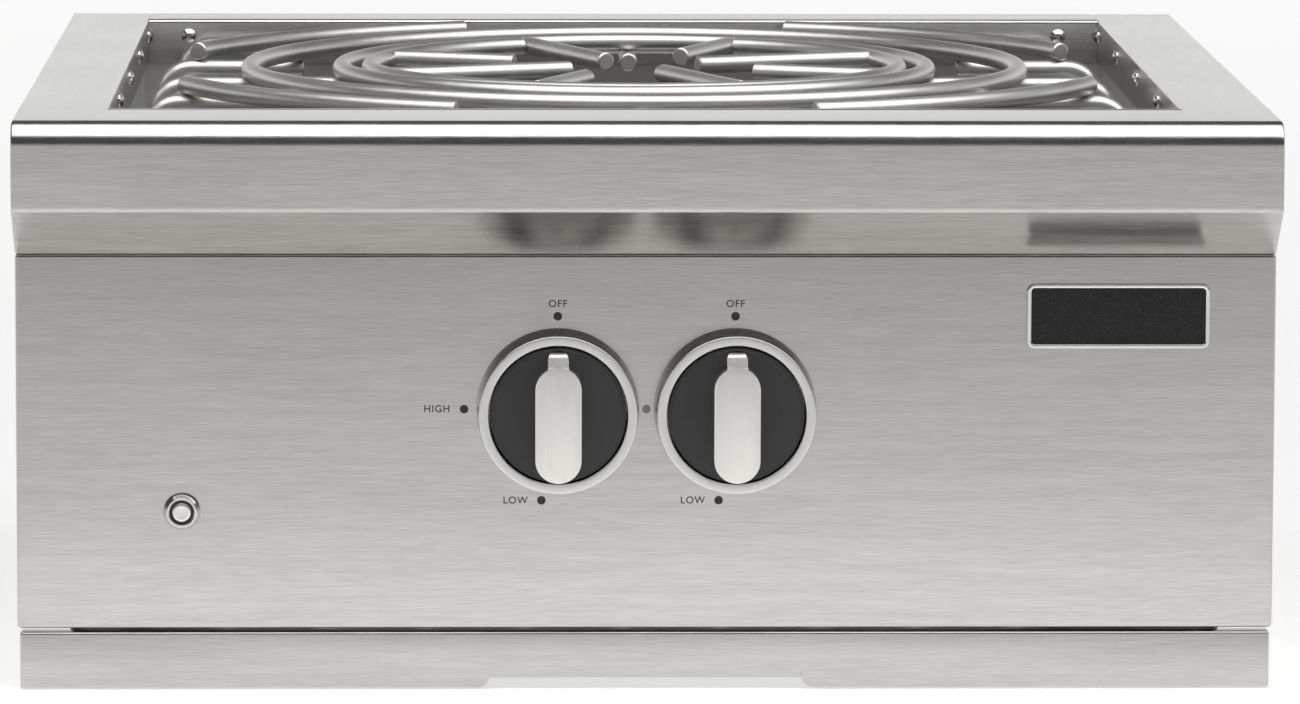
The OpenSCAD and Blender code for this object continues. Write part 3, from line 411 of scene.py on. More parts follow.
finishOfSlot = {
    "brushed_top": steelAlongX, "brushed_fascia": fasciaSteel, "inner_sheet": innerSteel,
    "fastener_steel": screwSteel, "badge_cast": discBlack, "grate_rod": rodSteel,
    "satin_surround": steelAlongX, "knob_black": discBlack, "satin_grip": rodSteel,
    "turned_steel": screwSteel, "valve_brass": valveBrass, "spring_wire": wireSteel,
    "gas_pipe": pipeZinc, "burner_tube": tubeSteel, "burner_iron": burnerIron,
    "module_plastic": modulePlastic, "battery_can": batteryPaint,
    "ceramic": whiteCeramic,
}
for nodeName, cadNode in frame["nodes"].items():
    for materialSlot in cadNode.material_slots:
        materialSlot.material = finishOfSlot[slotOf[nodeName]]
for materialSlot in frame["nodes"]["drip_tray_pan"].material_slots:
    materialSlot.material = fasciaSteel
print("finishes made")


# ---- making pieces ----

sharpAngle = math.radians(32)


def putInScene(name, mesh, materials, node, edge=0.0, sheet=0.0, replaced=()):
    bmesh.ops.remove_doubles(mesh, verts=mesh.verts, dist=1e-6)
    for face in mesh.faces:
        face.smooth = True
    for line in mesh.edges:
        line.smooth = len(line.link_faces) == 2 and line.calc_face_angle(0) < sharpAngle
    data = bpy.data.meshes.new(name)
    mesh.to_mesh(data)
    mesh.free()
    for material in materials:
        data.materials.append(material)
    piece = bpy.data.objects.new(name, data)
    bpy.context.scene.collection.objects.link(piece)
    if sheet:
        wall = piece.modifiers.new("sheet", "SOLIDIFY")
        wall.thickness = sheet
        wall.offset = -1
        wall.use_even_offset = True
    if edge:
        soften = piece.modifiers.new("soft edge", "BEVEL")
        soften.width = edge
        soften.segments = 2
        soften.limit_method = "ANGLE"
        soften.angle_limit = sharpAngle
        soften.harden_normals = False
    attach(piece, bodyOf[node])
    if replaced:
        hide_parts(*replaced)
    return piece


# Turns the faces of an open sheet so that they look away from a point inside
def faceAwayFrom(mesh, inside):
    bmesh.ops.recalc_face_normals(mesh, faces=mesh.faces)
    facing = sum((face.calc_center_median() - inside).dot(face.normal) * face.calc_area()
                 for face in mesh.faces)
    if facing < 0:
        bmesh.ops.reverse_faces(mesh, faces=mesh.faces)


def roundVertex(mesh, corner, radius, segments=6):
    if radius:
        bmesh.ops.bevel(mesh, geom=[corner], offset=radius, segments=segments, profile=0.5,
                        affect="VERTICES", clamp_overlap=True, material=-1)


# Rounds a corner so that its arc has the given radius, whatever its angle
def tangentLength(before, at, after, radius):
    opening = (before - at).angle(after - at)
    return radius / math.tan(opening / 2)


# Chain of edges through points, with a radius at each inner point
def chain(mesh, points, radii, segments=6):
    corners = [mesh.verts.new(point) for point in points]
    for first, second in zip(corners, corners[1:]):
        mesh.edges.new((first, second))
    places = [Vector(point) for point in points]
    for i in range(1, len(points) - 1):
        if radii[i]:
            length = tangentLength(places[i - 1], places[i], places[i + 1], radii[i])
            roundVertex(mesh, corners[i], length, segments)
    return list(mesh.edges)


# Sheet folded along a chain and drawn out along a vector; the chain is its outer face
def foldedSheet(points, radii, reach, inside, segments=6):
    mesh = bmesh.new()
    lines = chain(mesh, points, radii, segments)
    made = bmesh.ops.extrude_edge_only(mesh, edges=lines)
    moved = [part for part in made["geom"] if isinstance(part, bmesh.types.BMVert)]
    bmesh.ops.translate(mesh, verts=moved, vec=reach)
    faceAwayFrom(mesh, Vector(inside))
    return mesh


# Solid turned round local +Z from (radius, height, rounding) points, then put in place
def turnedSolid(outline, place, steps=96, mesh=None):
    part = bmesh.new()
    chain(part, [(r, 0, h) for r, h, rounding in outline], [rounding for r, h, rounding in outline], 4)
    bmesh.ops.spin(part, geom=part.verts[:] + part.edges[:], cent=(0, 0, 0), axis=(0, 0, 1),
                   angle=2 * math.pi, steps=steps, use_merge=True)
    bmesh.ops.remove_doubles(part, verts=part.verts, dist=1e-6)
    bmesh.ops.recalc_face_normals(part, faces=part.faces)
    bmesh.ops.transform(part, matrix=place, verts=part.verts)
    if mesh is None:
        return part
    data = bpy.data.meshes.new("part")
    part.to_mesh(data)
    part.free()
    mesh.from_mesh(data)
    bpy.data.meshes.remove(data)
    return mesh


def facingFront(x, y, z):
    return Matrix.Translation((x, y, z)) @ Matrix.Rotation(math.radians(90), 4, "X")


def addCopy(mesh, part):
    data = bpy.data.meshes.new("part")
    part.to_mesh(data)
    mesh.from_mesh(data)
    bpy.data.meshes.remove(data)


# Flat outline in local XY with rounded corners, drawn out along local +Z
def roundedPlate(corners, radii, thickness, segments=8):
    part = bmesh.new()
    points = [part.verts.new((x, y, 0)) for x, y in corners]
    part.faces.new(points)
    places = [point.co.copy() for point in points]
    for i, point in enumerate(points):
        if radii[i]:
            length = tangentLength(places[i - 1], places[i], places[(i + 1) % len(places)], radii[i])
            bmesh.ops.bevel(part, geom=[point], offset=length, segments=segments, profile=0.5,
                            affect="VERTICES", clamp_overlap=False, material=-1)
    bmesh.ops.remove_doubles(part, verts=part.verts, dist=1e-6)
    made = bmesh.ops.extrude_face_region(part, geom=part.faces[:])
    moved = [piece for piece in made["geom"] if isinstance(piece, bmesh.types.BMVert)]
    bmesh.ops.translate(part, verts=moved, vec=(0, 0, thickness))
    bmesh.ops.recalc_face_normals(part, faces=part.faces)
    return part


rod = {
    "sides": 28,
    "endChamfer": 0.0007,
    "bendSteps": 10,
    "ringSteps": 144,
    "leastSteps": 12,
}


# Round rod that starts at a point and follows runs and bends; a bend may name its own steps
def rodAlong(mesh, start, heading, radius, moves):
    heading = Vector(heading).normalized()
    turn = heading.to_track_quat("Z", "Y").to_matrix().to_4x4()
    chamfer = rod["endChamfer"]
    made = bmesh.ops.create_circle(mesh, cap_ends=True, segments=rod["sides"], radius=radius - chamfer,
                                   matrix=Matrix.Translation(start) @ turn)
    tip = made["verts"][0].link_faces[0]

    def grow(face, step, size=1.0):
        out = bmesh.ops.extrude_face_region(mesh, geom=[face])
        verts = [part for part in out["geom"] if isinstance(part, bmesh.types.BMVert)]
        faces = [part for part in out["geom"] if isinstance(part, bmesh.types.BMFace)]
        bmesh.ops.translate(mesh, verts=verts, vec=step)
        centre = sum((vert.co for vert in verts), Vector()) / len(verts)
        bmesh.ops.scale(mesh, vec=(size, size, size), verts=verts, space=Matrix.Translation(-centre))
        return faces[0]

    tip = grow(tip, heading * chamfer, radius / (radius - chamfer))
    for i, (kind, *values) in enumerate(moves):
        first = i == 0
        last = i == len(moves) - 1
        if kind == "run":
            length = values[0] - chamfer * (first + last)
            tip = grow(tip, heading * length)
        else:
            centre, axis, angle, *ownSteps = values
            out = bmesh.ops.spin(mesh, geom=[tip], cent=centre, axis=axis, angle=math.radians(angle),
                                 steps=ownSteps[0] if ownSteps else rod["bendSteps"], use_merge=False)
            tip = [part for part in out["geom_last"] if isinstance(part, bmesh.types.BMFace)][0]
            heading = Matrix.Rotation(math.radians(angle), 3, Vector(axis)) @ heading
    grow(tip, heading * chamfer, (radius - chamfer) / radius)


# Ring of rod round the vertical axis, closed or from one angle to another
def ringOfRod(mesh, centre, ringRadius, radius, start=0.0, end=360.0):
    whole = end - start >= 360
    begin = math.radians(start)
    place = Matrix.Translation(centre) @ Matrix.Rotation(begin, 4, "Z")
    place = place @ Matrix.Translation((ringRadius, 0, 0)) @ Matrix.Rotation(math.radians(90), 4, "X")
    steps = max(rod["leastSteps"], round(rod["ringSteps"] * (end - start) / 360))
    if whole:
        made = bmesh.ops.create_circle(mesh, segments=rod["sides"], radius=radius, matrix=place)
        lines = list({line for vert in made["verts"] for line in vert.link_edges})
        bmesh.ops.spin(mesh, geom=made["verts"] + lines, cent=centre, axis=(0, 0, 1), angle=2 * math.pi,
                       steps=steps, use_merge=True)
    else:
        heading = Matrix.Rotation(begin, 3, "Z") @ Vector((0, 1, 0))
        point = Vector(centre) + Matrix.Rotation(begin, 3, "Z") @ Vector((ringRadius, 0, 0))
        chamferAngle = math.degrees(rod["endChamfer"] / ringRadius)
        angle = end - start - 2 * chamferAngle
        rodAlong(mesh, point, heading, radius, [("bend", centre, (0, 0, 1), angle, steps)])


# ---- casing ----

bezel = {
    "bullnose": 0.0120,
    "bend": 0.0030,
    "slopeBend": 0.0016,
    "innerBend": 0.0020,
    "faceHeight": 0.0425,
    "sheet": 0.0015,
    "lip": 0.014,
    "endRound": 0.0019,
    "endPlate": 0.0020,
    "edge": 0.00018,
}

bezelLow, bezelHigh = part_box("front_bezel")
panelLow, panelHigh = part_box("control_panel")
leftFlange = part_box("left_flange")
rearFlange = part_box("rear_flange")
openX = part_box("rear_flange")[1].x            # half the opening's width
openBack = rearFlange[0].y                    # rear edge of the opening
topZ = bezelHigh.z


def makeBezel():
    front, back, top = bezelLow.y, bezelHigh.y, bezelHigh.z
    flangeBottom = leftFlange[0].z
    sheet = bezel["sheet"]
    left = bezelLow.x + bezel["endPlate"]
    points = [
        (left, panelLow.y + bezel["lip"], panelHigh.z),
        (left, panelLow.y, panelHigh.z),
        (left, front, top - bezel["faceHeight"]),
        (left, front, top),
        (left, back, top),
    ]
    radii = [0, bezel["slopeBend"], bezel["bend"], bezel["bullnose"], 0]
    mesh = foldedSheet(points, radii, (-2 * left, 0, 0),
                       (0, (front + back) / 2, top - 0.02), segments=14)
    putInScene("bezel_sheet", mesh, [steelAlongX], "front_bezel", bezel["edge"], sheet,
               ["front_bezel"])
    turnDown = foldedSheet([(-openX, back, flangeBottom), (-openX, back, top), (-openX, back - 0.006, top)],
                           [0, bezel["innerBend"], 0], (2 * openX, 0, 0), (0, back - 0.02, top - 0.02))
    putInScene("bezel_turned_down_flange", turnDown, [steelAlongX], "front_bezel", bezel["edge"], sheet)


# End plates whose outer edges are rounded over, so that they blend into the bezel
def makeEndCaps():
    front, back, top = bezelLow.y, bezelHigh.y, bezelHigh.z
    depth = bezel["endPlate"]
    corners = [(back, top), (front, top), (front, top - bezel["faceHeight"]), (panelLow.y, panelHigh.z),
               (back, panelHigh.z)]
    radii = [0, bezel["bullnose"], bezel["bend"], bezel["slopeBend"], 0]
    mesh = bmesh.new()
    for side in (-1, 1):
        part = roundedPlate(corners, radii, depth, 14)
        rim = [line for line in part.edges if min(vert.co.z for vert in line.verts) > depth - 1e-6]
        bmesh.ops.bevel(part, geom=rim, offset=bezel["endRound"], segments=5, profile=0.5, affect="EDGES",
                        clamp_overlap=True, material=-1)
        for vert in part.verts:
            y, z, out = vert.co
            vert.co = (side * (bezelHigh.x - depth + out), y, z)
        addCopy(mesh, part)
        part.free()
    bmesh.ops.recalc_face_normals(mesh, faces=mesh.faces)
    putInScene("bezel_end_plates", mesh, [steelAlongX], "bezel_end_caps", replaced=["bezel_end_caps"])


flange = {"sheet": 0.0015, "bend": 0.0020, "hem": 0.010, "hemRound": 0.0006, "edge": 0.00018}


def makeFlanges():
    for name, side in (("left_flange", -1), ("right_flange", 1)):
        low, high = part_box(name)
        outer = side * max(abs(low.x), abs(high.x))
        inner = side * openX
        points = [
            (outer - side * flange["hem"], low.y, topZ - 2 * flange["sheet"]),
            (outer, low.y, topZ - 2 * flange["sheet"]),
            (outer, low.y, topZ),
            (inner, low.y, topZ),
            (inner, low.y, low.z),
        ]
        radii = [0, flange["hemRound"], flange["hemRound"], flange["bend"], 0]
        mesh = foldedSheet(points, radii, (0, high.y - low.y, 0), ((outer + inner) / 2, 0, topZ - 0.002))
        putInScene(name + "_sheet", mesh, [steelAlongY], name, flange["edge"], flange["sheet"], [name])
    low, high = rearFlange
    points = [
        (-openX, high.y - flange["hem"], topZ - 2 * flange["sheet"]),
        (-openX, high.y, topZ - 2 * flange["sheet"]),
        (-openX, high.y, topZ),
        (-openX, low.y, topZ),
        (-openX, low.y, low.z),
    ]
    radii = [0, flange["hemRound"], flange["hemRound"], flange["bend"], 0]
    mesh = foldedSheet(points, radii, (2 * openX, 0, 0), (0, (low.y + high.y) / 2, topZ - 0.002))
    putInScene("rear_flange_sheet", mesh, [steelAlongX], "rear_flange", flange["edge"], flange["sheet"],
               ["rear_flange"])


fascia = {"bend": 0.0016, "lip": 0.014, "sheet": 0.0015, "edge": 0.00012}


# Flat plate whose edges turn back; the corners of a chosen outline may be rounded
def foldedTray(outline, radii, front, depth, bend, keepOpen=None):
    mesh = bmesh.new()
    points = [mesh.verts.new((x, front, z)) for x, z in outline]
    mesh.faces.new(points)
    places = [point.co.copy() for point in points]
    for i, point in enumerate(points):
        if radii[i]:
            length = tangentLength(places[i - 1], places[i], places[(i + 1) % len(places)], radii[i])
            roundVertex(mesh, point, length, 8)
    turned = [line for line in mesh.edges if not (keepOpen and keepOpen(line))]
    made = bmesh.ops.extrude_edge_only(mesh, edges=turned)
    moved = [part for part in made["geom"] if isinstance(part, bmesh.types.BMVert)]
    bmesh.ops.translate(mesh, verts=moved, vec=(0, depth, 0))
    low = min(x for x, z in outline)
    high = max(x for x, z in outline)
    folds = [line for line in mesh.edges if len(line.link_faces) == 2]
    bmesh.ops.bevel(mesh, geom=folds, offset=bend, segments=5, profile=0.5, affect="EDGES",
                    clamp_overlap=True, material=-1)
    faceAwayFrom(mesh, Vector(((low + high) / 2, front + depth, sum(z for x, z in outline) / len(outline))))
    return mesh


def makeFascia():
    low, high = panelLow, panelHigh
    outline = [(low.x, low.z), (high.x, low.z), (high.x, high.z), (low.x, high.z)]
    mesh = foldedTray(outline, [0] * 4, low.y, fascia["lip"], fascia["bend"])
    putInScene("fascia_sheet", mesh, [fasciaSteel], "control_panel", fascia["edge"], fascia["sheet"],
               ["control_panel"])


trayFront = {"bend": 0.0013, "sheet": 0.0015, "edge": 0.00015, "notchWidth": 0.152, "notchHeight": 0.0124,
             "notchRound": 0.0053}


def makeTrayFront():
    low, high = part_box("drip_tray_front")
    half = trayFront["notchWidth"] / 2
    roof = low.z + trayFront["notchHeight"]
    r = trayFront["notchRound"]
    outline = [(low.x, low.z), (-half, low.z), (-half, roof), (half, roof), (half, low.z),
               (high.x, low.z), (high.x, high.z), (low.x, high.z)]
    mesh = foldedTray(outline, [0, r, r, r, r, 0, 0, 0], low.y, high.y - low.y, trayFront["bend"],
                      keepOpen=lambda line: max(vert.co.z for vert in line.verts) < high.z - 1e-5)
    putInScene("tray_front_sheet", mesh, [fasciaSteel], "drip_tray_front", trayFront["edge"],
               trayFront["sheet"], ["drip_tray_front"])


screw = {
    "radius": 0.0040, "rise": 0.0024, "socket": 0.0012, "rimRound": 0.0004, "domeRound": 0.004,
    "inset": 0.006, "rearInset": 0.022, "count": 5, "sides": 24,
}


def makeScrews():
    radius, rise, socket = screw["radius"], screw["rise"], screw["socket"]
    outline = [(0, rise * 0.72, 0), (socket, rise * 0.72, 0), (socket, rise, 0),
               (radius * 0.55, rise * 0.86, screw["domeRound"]), (radius, rise * 0.25, screw["rimRound"]),
               (radius, 0, 0)]
    low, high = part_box("flange_screws")
    drop = (low.z + high.z) / 2
    start = bezelHigh.y + screw["inset"]
    pitch = (openBack - bezelHigh.y - 2 * screw["inset"]) / (screw["count"] - 1)
    mesh = bmesh.new()
    for side in (-1, 1):
        turn = Matrix.Rotation(math.radians(-90 * side), 4, "Y")
        for i in range(screw["count"]):
            place = Matrix.Translation((side * openX, start + i * pitch, drop)) @ turn
            turnedSolid(outline, place, screw["sides"], mesh)
        place = facingFront(side * (openX - screw["rearInset"]), openBack, drop)
        turnedSolid(outline, place, screw["sides"], mesh)
    putInScene("flange_screw_heads", mesh, [screwSteel], "flange_screws", replaced=["flange_screws"])


makeBezel()
makeEndCaps()
makeFlanges()
makeFascia()
makeTrayFront()
makeScrews()
print("casing made")


# ---- grate ----

grate = {"sideGap": 22.5, "frontRight": 19.7, "frontLeft": 21.8, "rear": 20.7, "bend": 0.015,
         "weld": 0.002}

midLow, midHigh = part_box("middle_ring")
rodRadius = (midHigh.z - midLow.z) / 2
grateX, grateY = 0.0, (midLow.y + midHigh.y) / 2
ringZ = (midLow.z + midHigh.z) / 2


def ringRadiusOf(node):
    low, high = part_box(node)
    return (high.x - low.x) / 2 - rodRadius


def makeRings():
    for node in ("middle_ring", "inner_ring"):
        mesh = bmesh.new()
        ringOfRod(mesh, (grateX, grateY, ringZ), ringRadiusOf(node), rodRadius)
        bmesh.ops.recalc_face_normals(mesh, faces=mesh.faces)
        putInScene(node + "_rod", mesh, [rodSteel], node, replaced=[node])
    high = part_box("outer_ring_arcs")[1]
    rear, side = grate["rear"], grate["sideGap"]
    outerRadius = (high.y - grateY) / math.cos(math.radians(rear)) - rodRadius
    mesh = bmesh.new()
    for start, end in ((side, 90 - rear), (90 + rear, 180 - side), (180 + side, 270 - grate["frontLeft"]),
                       (270 + grate["frontRight"], 360 - side)):
        ringOfRod(mesh, (grateX, grateY, ringZ), outerRadius, rodRadius, start, end)
    bmesh.ops.recalc_face_normals(mesh, faces=mesh.faces)
    putInScene("outer_arc_rods", mesh, [rodSteel], "outer_ring_arcs", replaced=["outer_ring_arcs"])


# Rod along X from x0 that turns down into a leg
def leggedRod(mesh, side, y, x0, legX, barZ, foot):
    bend = grate["bend"]
    run = legX - bend - x0
    start = (side * x0, y, barZ)
    centre = (side * (legX - bend), y, barZ - bend)
    rodAlong(mesh, start, (side, 0, 0), rodRadius,
             [("run", run), ("bend", centre, (0, 1, 0), 90 * side), ("run", barZ - bend - foot)])


def makeBars():
    low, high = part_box("side_bars")
    foot = low.z
    barZ = high.z - rodRadius
    sideY = (high.y - low.y) / 2 - rodRadius
    middle = ringRadiusOf("middle_ring")
    reach = math.sqrt(middle ** 2 - sideY ** 2)
    centreRadius = (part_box("centre_ring")[1].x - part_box("centre_ring")[0].x) / 2 - rodRadius
    mesh = bmesh.new()
    for side in (-1, 1):
        leggedRod(mesh, side, grateY, centreRadius, high.x - rodRadius, barZ, foot)
        for row in (-1, 1):
            leggedRod(mesh, side, grateY + row * sideY, reach, high.x - rodRadius, barZ, foot)
    bmesh.ops.recalc_face_normals(mesh, faces=mesh.faces)
    putInScene("side_bar_rods", mesh, [rodSteel], "side_bars", replaced=["side_bars"])
    low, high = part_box("end_bars")
    endY = (high.y - low.y) / 2 - rodRadius
    legX = high.x - rodRadius
    bend = grate["bend"]
    mesh = bmesh.new()
    for row in (-1, 1):
        y = grateY + row * endY
        rodAlong(mesh, (-legX, y, foot), (0, 0, 1), rodRadius, [
            ("run", barZ - bend - foot), ("bend", (-legX + bend, y, barZ - bend), (0, 1, 0), 90),
            ("run", 2 * (legX - bend)), ("bend", (legX - bend, y, barZ - bend), (0, 1, 0), 90),
            ("run", barZ - bend - foot)])
    bmesh.ops.recalc_face_normals(mesh, faces=mesh.faces)
    putInScene("end_bar_rods", mesh, [rodSteel], "end_bars", replaced=["end_bars"])
    low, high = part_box("centre_bars")
    mesh = bmesh.new()
    for row in (-1, 1):
        start = (0, grateY + row * (centreRadius - grate["weld"]), barZ)
        length = endY - rodRadius * 0.3 - centreRadius + grate["weld"]
        rodAlong(mesh, start, (0, row, 0), rodRadius, [("run", length)])
    bmesh.ops.recalc_face_normals(mesh, faces=mesh.faces)
    putInScene("centre_bar_rods", mesh, [rodSteel], "centre_bars", replaced=["centre_bars"])


fingers = {"first": 22.5, "step": 45.0, "longEnd": 0.036, "shortEnd": 0.067}


def makeCentre():
    low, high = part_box("centre_ring")
    radius = (high.x - low.x) / 2 - rodRadius
    z = (low.z + high.z) / 2
    mesh = bmesh.new()
    endAngle = math.degrees(math.asin((rodRadius - 0.0001) / radius))
    ringOfRod(mesh, (0, grateY, z), radius, rodRadius, 112.5 + endAngle, 427.5 - endAngle)
    bmesh.ops.recalc_face_normals(mesh, faces=mesh.faces)
    putInScene("centre_ring_rod", mesh, [rodSteel], "centre_ring", replaced=["centre_ring"])
    mesh = bmesh.new()
    for i in range(8):
        angle = fingers["first"] + fingers["step"] * i
        inner = fingers["longEnd"] if i % 2 == 0 else fingers["shortEnd"]
        outer = radius + rodRadius if i in (1, 2) else radius - rodRadius * 0.4
        heading = Matrix.Rotation(math.radians(angle), 3, "Z") @ Vector((1, 0, 0))
        start = Vector((0, grateY, z)) + heading * inner
        rodAlong(mesh, start, heading, rodRadius, [("run", outer - inner)])
    bmesh.ops.recalc_face_normals(mesh, faces=mesh.faces)
    putInScene("centre_finger_rods", mesh, [rodSteel], "centre_fingers", replaced=["centre_fingers"])


makeRings()
makeBars()
makeCentre()
print("grate made")


# ---- knobs ----

knob = {
    "rimWidth": 0.0047, "rimRound": 0.0007, "innerRound": 0.0006, "taper": 0.0012,
    "baseLift": 0.001, "baseRound": 0.0004, "stemHole": 0.0105, "lip": 0.0025, "wallFoot": 0.003,
    "discThickness": 0.005, "discRound": 0.0006, "backRound": 0.0003, "dishEdge": 0.0016,
    "dishRim": 0.0012, "dishDepth": 0.0003, "dishRound": 0.0003, "dishRimRound": 0.0002,
    "hub": 0.009, "hubRound": 0.0004, "bore": 0.004, "boreStep": 0.0002, "sides": 128,
    "gripRound": 0.0011, "nose": 0.0070, "noseWidth": 0.0100, "noseDrop": 0.0003,
}


def makeKnob(sideName):
    axis = sum(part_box(sideName + "_knob_disc"), Vector()) / 2
    low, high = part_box(sideName + "_knob_surround")
    front = panelLow.y - low.y                   # how far the surround stands out
    baseRadius = (high.x - low.x) / 2
    rimRadius = baseRadius - knob["taper"]
    innerRadius = rimRadius - knob["rimWidth"]
    finish = turnedMetal(sideName + "_surround_satin", tone["steelBright"], axis, 0.26)
    outline = [
        (innerRadius, knob["wallFoot"], 0), (innerRadius, front, knob["innerRound"]),
        (rimRadius, front, knob["rimRound"]), (baseRadius, knob["baseLift"], knob["baseRound"]),
        (baseRadius, 0, 0), (knob["stemHole"], 0, 0), (knob["stemHole"], knob["lip"], 0),
        (innerRadius, knob["lip"], 0),
    ]
    mesh = turnedSolid(outline, facingFront(axis.x, panelLow.y, axis.z), knob["sides"])
    node = sideName + "_knob_surround"
    putInScene(sideName + "_surround_ring", mesh, [finish], node, replaced=[node])
    low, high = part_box(sideName + "_knob_disc")
    radius = (high.x - low.x) / 2
    depth = high.y - low.y
    back = -knob["discThickness"]
    boreEnd = back - knob["boreStep"]
    outline = [
        (0, 0, 0), (radius - knob["dishEdge"], 0, knob["dishRound"]),
        (radius - knob["dishRim"], -knob["dishDepth"], knob["dishRimRound"]),
        (radius, -knob["dishDepth"], knob["discRound"]), (radius, back, knob["backRound"]),
        (knob["hub"], back, 0), (knob["hub"], -depth, knob["hubRound"]), (knob["bore"], -depth, 0),
        (knob["bore"], boreEnd, 0), (0, boreEnd, 0),
    ]
    mesh = turnedSolid(outline, facingFront(axis.x, low.y, axis.z), knob["sides"])
    node = sideName + "_knob_disc"
    putInScene(sideName + "_disc_moulding", mesh, [discBlack], node, replaced=[node])


def makeGrip(sideName):
    node = sideName + "_knob_grip"
    low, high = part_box(node)
    width, length, height = high.x - low.x, high.z - low.z, high.y - low.y
    w, l = width / 2, length / 2
    head = l - knob["nose"]
    part = roundedPlate([(-w, -l), (w, -l), (w, head), (-w, head)], [w * 0.9999] * 4, height, 14)
    front = [line for line in part.edges if line.is_manifold and line.calc_face_angle(0) > 0.3
             and max(abs(vert.co.z - height) for vert in line.verts) < 1e-6]
    bmesh.ops.bevel(part, geom=front, offset=knob["gripRound"], segments=4, profile=0.5, affect="EDGES",
                    clamp_overlap=True, material=-1)
    n = knob["noseWidth"] / 2
    corners = [(-n, head - w), (n, head - w), (n, l), (-n, l)]
    nose = roundedPlate(corners, [0, 0, n * 0.9, n * 0.9], height, 8)
    slope = Vector((0, height, knob["nose"])).normalized()
    cut = bmesh.ops.bisect_plane(nose, geom=nose.verts[:] + nose.edges[:] + nose.faces[:],
                                 plane_co=(0, l, 0), plane_no=slope, clear_outer=True, dist=1e-7)
    rim = [line for line in cut["geom_cut"] if isinstance(line, bmesh.types.BMEdge)]
    bmesh.ops.contextual_create(nose, geom=rim)
    bmesh.ops.translate(nose, verts=nose.verts, vec=(0, 0, -knob["noseDrop"]))
    for face in nose.faces:
        face.material_index = 1
    addCopy(part, nose)
    nose.free()
    bmesh.ops.recalc_face_normals(part, faces=part.faces)
    centre = Vector(((low.x + high.x) / 2, high.y, (low.z + high.z) / 2))
    bmesh.ops.transform(part, matrix=facingFront(*centre), verts=part.verts)
    satin = brushedSteel(sideName + "_grip_satin", (0.80, 0.785, 0.755), "Z", roughness=0.30, depth=0.5)
    chrome = plainMetal(sideName + "_grip_nose_polish", (0.70, 0.69, 0.68), 0.09, depth=0.000002)
    putInScene(sideName + "_grip_casting", part, [satin, chrome], node, replaced=[node])


for sideName in ("left", "right"):
    makeKnob(sideName)
    makeGrip(sideName)


button = {
    "faceRadius": 0.0061, "proud": 0.0046, "rimRound": 0.0004, "rimWidth": 0.0011, "shoulderRound": 0.0005,
    "skirt": 0.0006, "skirtHeight": 0.62, "skirtRound": 0.001, "foot": 0.001, "footRound": 0.0004,
    "sleeveRadius": 0.0075, "sleeve": 0.014, "gap": 0.0001,
    "buttonRadius": 0.0045, "dish": 0.0003, "dishEdge": 0.0011, "edgeDrop": 0.0002, "backRound": 0.0002,
    "wellRadius": 0.0059, "wellDepth": 0.0013, "wellFoot": 0.0012, "wellRound": 0.0002, "sides": 72,
}


def makeButton():
    low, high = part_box("button_collar")
    radius = (high.x - low.x) / 2
    finish = turnedMetal("button_collar_turned", tone["steelBright"], buttonAxis, 0.16)
    bore = button["buttonRadius"] + button["gap"]
    face, proud, foot = button["faceRadius"], button["proud"], button["foot"]
    outline = [
        (bore, foot, 0), (face, foot, 0), (face, proud, button["rimRound"]),
        (face + button["rimWidth"], proud, button["shoulderRound"]),
        (radius - button["skirt"], proud * button["skirtHeight"], button["skirtRound"]),
        (radius, foot, button["footRound"]), (radius, 0, 0), (button["sleeveRadius"], 0, 0),
        (button["sleeveRadius"], -button["sleeve"], 0), (bore, -button["sleeve"], 0), (bore, foot, 0),
    ]
    onPanel = facingFront(buttonAxis.x, panelLow.y, buttonAxis.z)
    mesh = turnedSolid(outline, onPanel, button["sides"])
    putInScene("button_collar_ring", mesh, [finish], "button_collar", replaced=["button_collar"])
    low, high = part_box("ignition_button")
    length = high.y - low.y
    edge = button["buttonRadius"]
    outline = [(0, -button["dish"], 0), (edge - button["dishEdge"], 0, button["dish"]),
               (edge, -button["edgeDrop"], button["rimRound"]), (edge, -length, button["backRound"]),
               (0, -length, 0)]
    mesh = turnedSolid(outline, facingFront(buttonAxis.x, low.y, buttonAxis.z), button["sides"])
    faceFinish = turnedMetal("push_button_turned", (0.80, 0.79, 0.77), buttonAxis, 0.30)
    putInScene("push_button", mesh, [faceFinish], "ignition_button", replaced=["ignition_button"])
    well, wellFoot, outer = proud - button["wellDepth"], button["wellFoot"], button["wellRadius"]
    outline = [(bore, wellFoot, 0), (bore, well, button["wellRound"]), (outer, well, button["wellRound"]),
               (outer, wellFoot, 0), (bore, wellFoot, 0)]
    ring = putInScene("button_well_ring", turnedSolid(outline, onPanel, button["sides"]), [discBlack],
                      "button_collar")


makeButton()
print("knobs and button made")


# ---- badge and dials ----

badge = {"corner": 0.0038, "rim": 0.0019, "field": 0.0011, "rimRound": 0.0006, "fieldEdge": 0.0003}


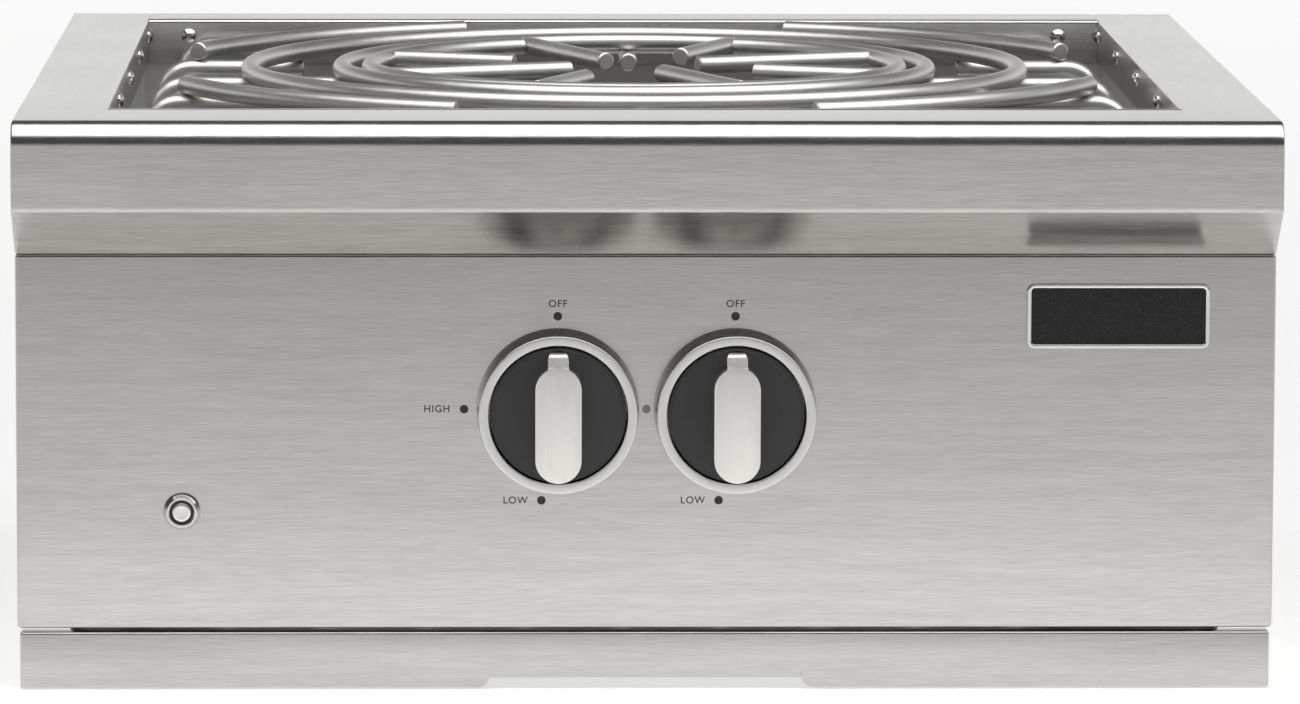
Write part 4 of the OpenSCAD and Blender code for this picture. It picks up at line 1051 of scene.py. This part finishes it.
def makeBadge():
    low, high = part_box("badge")
    w, h = (high.x - low.x) / 2, (high.z - low.z) / 2
    depth = high.y - low.y
    centre = facingFront((low.x + high.x) / 2, high.y, (low.z + high.z) / 2)
    corners = [(-w, -h), (w, -h), (w, h), (-w, h)]
    part = roundedPlate(corners, [badge["corner"]] * 4, depth, 10)
    face = max(part.faces, key=lambda item: (item.calc_center_median().z, item.calc_area()))
    bmesh.ops.inset_region(part, faces=[face], thickness=badge["rim"], depth=0.0)
    made = bmesh.ops.inset_region(part, faces=[face], thickness=badge["fieldEdge"], depth=-badge["field"])
    for side in made["faces"]:
        side.material_index = 0
    face.material_index = 1
    edges = [line for line in part.edges if line.is_manifold and line.calc_face_angle(0) > 0.5
             and min(vert.co.z for vert in line.verts) > depth - 1e-6]
    bmesh.ops.bevel(part, geom=edges, offset=badge["rimRound"], segments=3, profile=0.5, affect="EDGES",
                    clamp_overlap=True, material=-1)
    bmesh.ops.transform(part, matrix=centre, verts=part.verts)
    rimMetal = plainMetal("badge_rim_polish", (0.74, 0.735, 0.72), 0.18, depth=0.000004)
    field = newFinish("badge_field_black", Coat_Roughness=0.2)
    place = field.coordinates()
    stipple = field.noise(place, scale=1150, detail=3, roughness=0.7)
    black = field.mixColour(field.spread(stipple, 0.5, 0.75), (0.006, 0.006, 0.007), (0.045, 0.045, 0.046))
    setShader(field, Base_Color=black, Specular_IOR_Level=0.3, Roughness=0.55 + (stipple - 0.5) * 0.4)
    bumped(field, stipple, 0.00012)
    putInScene("badge_plate", part, [rimMetal, field.material], "badge", replaced=["badge"])


# Words are placed by their distances from a knob's axis, across and up
dial = {
    "dot": 0.0021, "dotRing": 0.0453, "dotSides": 32, "ink": 0.00006,
    "letter": 0.0035, "sizeForHeight": 1.39, "spacing": 1.12, "bold": 0.00005,
    "OFF": (0.0, 0.0513), "LOW": (-0.0205, -0.0447), "HIGH": (-0.0585, 0.0), "turns": (0, 90, 170),
}


def addWord(mesh, word, x, z):
    curve = bpy.data.curves.new("word", "FONT")
    curve.body = word
    curve.size = dial["letter"] * dial["sizeForHeight"]
    curve.align_x = "CENTER"
    curve.align_y = "CENTER"
    curve.space_character = dial["spacing"]
    curve.offset = dial["bold"]
    shape = bpy.data.objects.new("word", curve)
    bpy.context.scene.collection.objects.link(shape)
    bpy.context.view_layer.update()
    flat = bpy.data.meshes.new_from_object(shape)
    flat.transform(facingFront(x, panelLow.y - dial["ink"], z))
    mesh.from_mesh(flat)
    bpy.data.meshes.remove(flat)
    bpy.data.objects.remove(shape)
    bpy.data.curves.remove(curve)


def addDot(mesh, x, z):
    outline = [(0, dial["ink"], 0), (dial["dot"], dial["ink"], 0), (dial["dot"], 0, 0)]
    turnedSolid(outline, facingFront(x, panelLow.y, z), dial["dotSides"], mesh)


def putPrint(name, mesh, ink):
    bmesh.ops.recalc_face_normals(mesh, faces=mesh.faces)
    if sum(face.normal.y * face.calc_area() for face in mesh.faces) > 0:
        bmesh.ops.reverse_faces(mesh, faces=mesh.faces)
    piece = putInScene(name, mesh, [ink], "control_panel")


def makeDials():
    mesh = bmesh.new()
    for axis in (leftKnobAxis, rightKnobAxis):
        left = axis.x < 0
        for angle in dial["turns"]:
            turn = math.radians(angle)
            if left or angle != 90:
                addDot(mesh, axis.x - dial["dotRing"] * math.sin(turn),
                       axis.z + dial["dotRing"] * math.cos(turn))
        for word in ("OFF", "LOW", "HIGH") if left else ("OFF", "LOW"):
            across, up = dial[word]
            addWord(mesh, word, axis.x + across, axis.z + up)
    putPrint("dial_print", mesh, inkBlack)
    mesh = bmesh.new()
    addDot(mesh, 0, rightKnobAxis.z)
    putPrint("dial_worn_dot", mesh, inkGrey)


makeBadge()
makeDials()
print("badge and dials made")
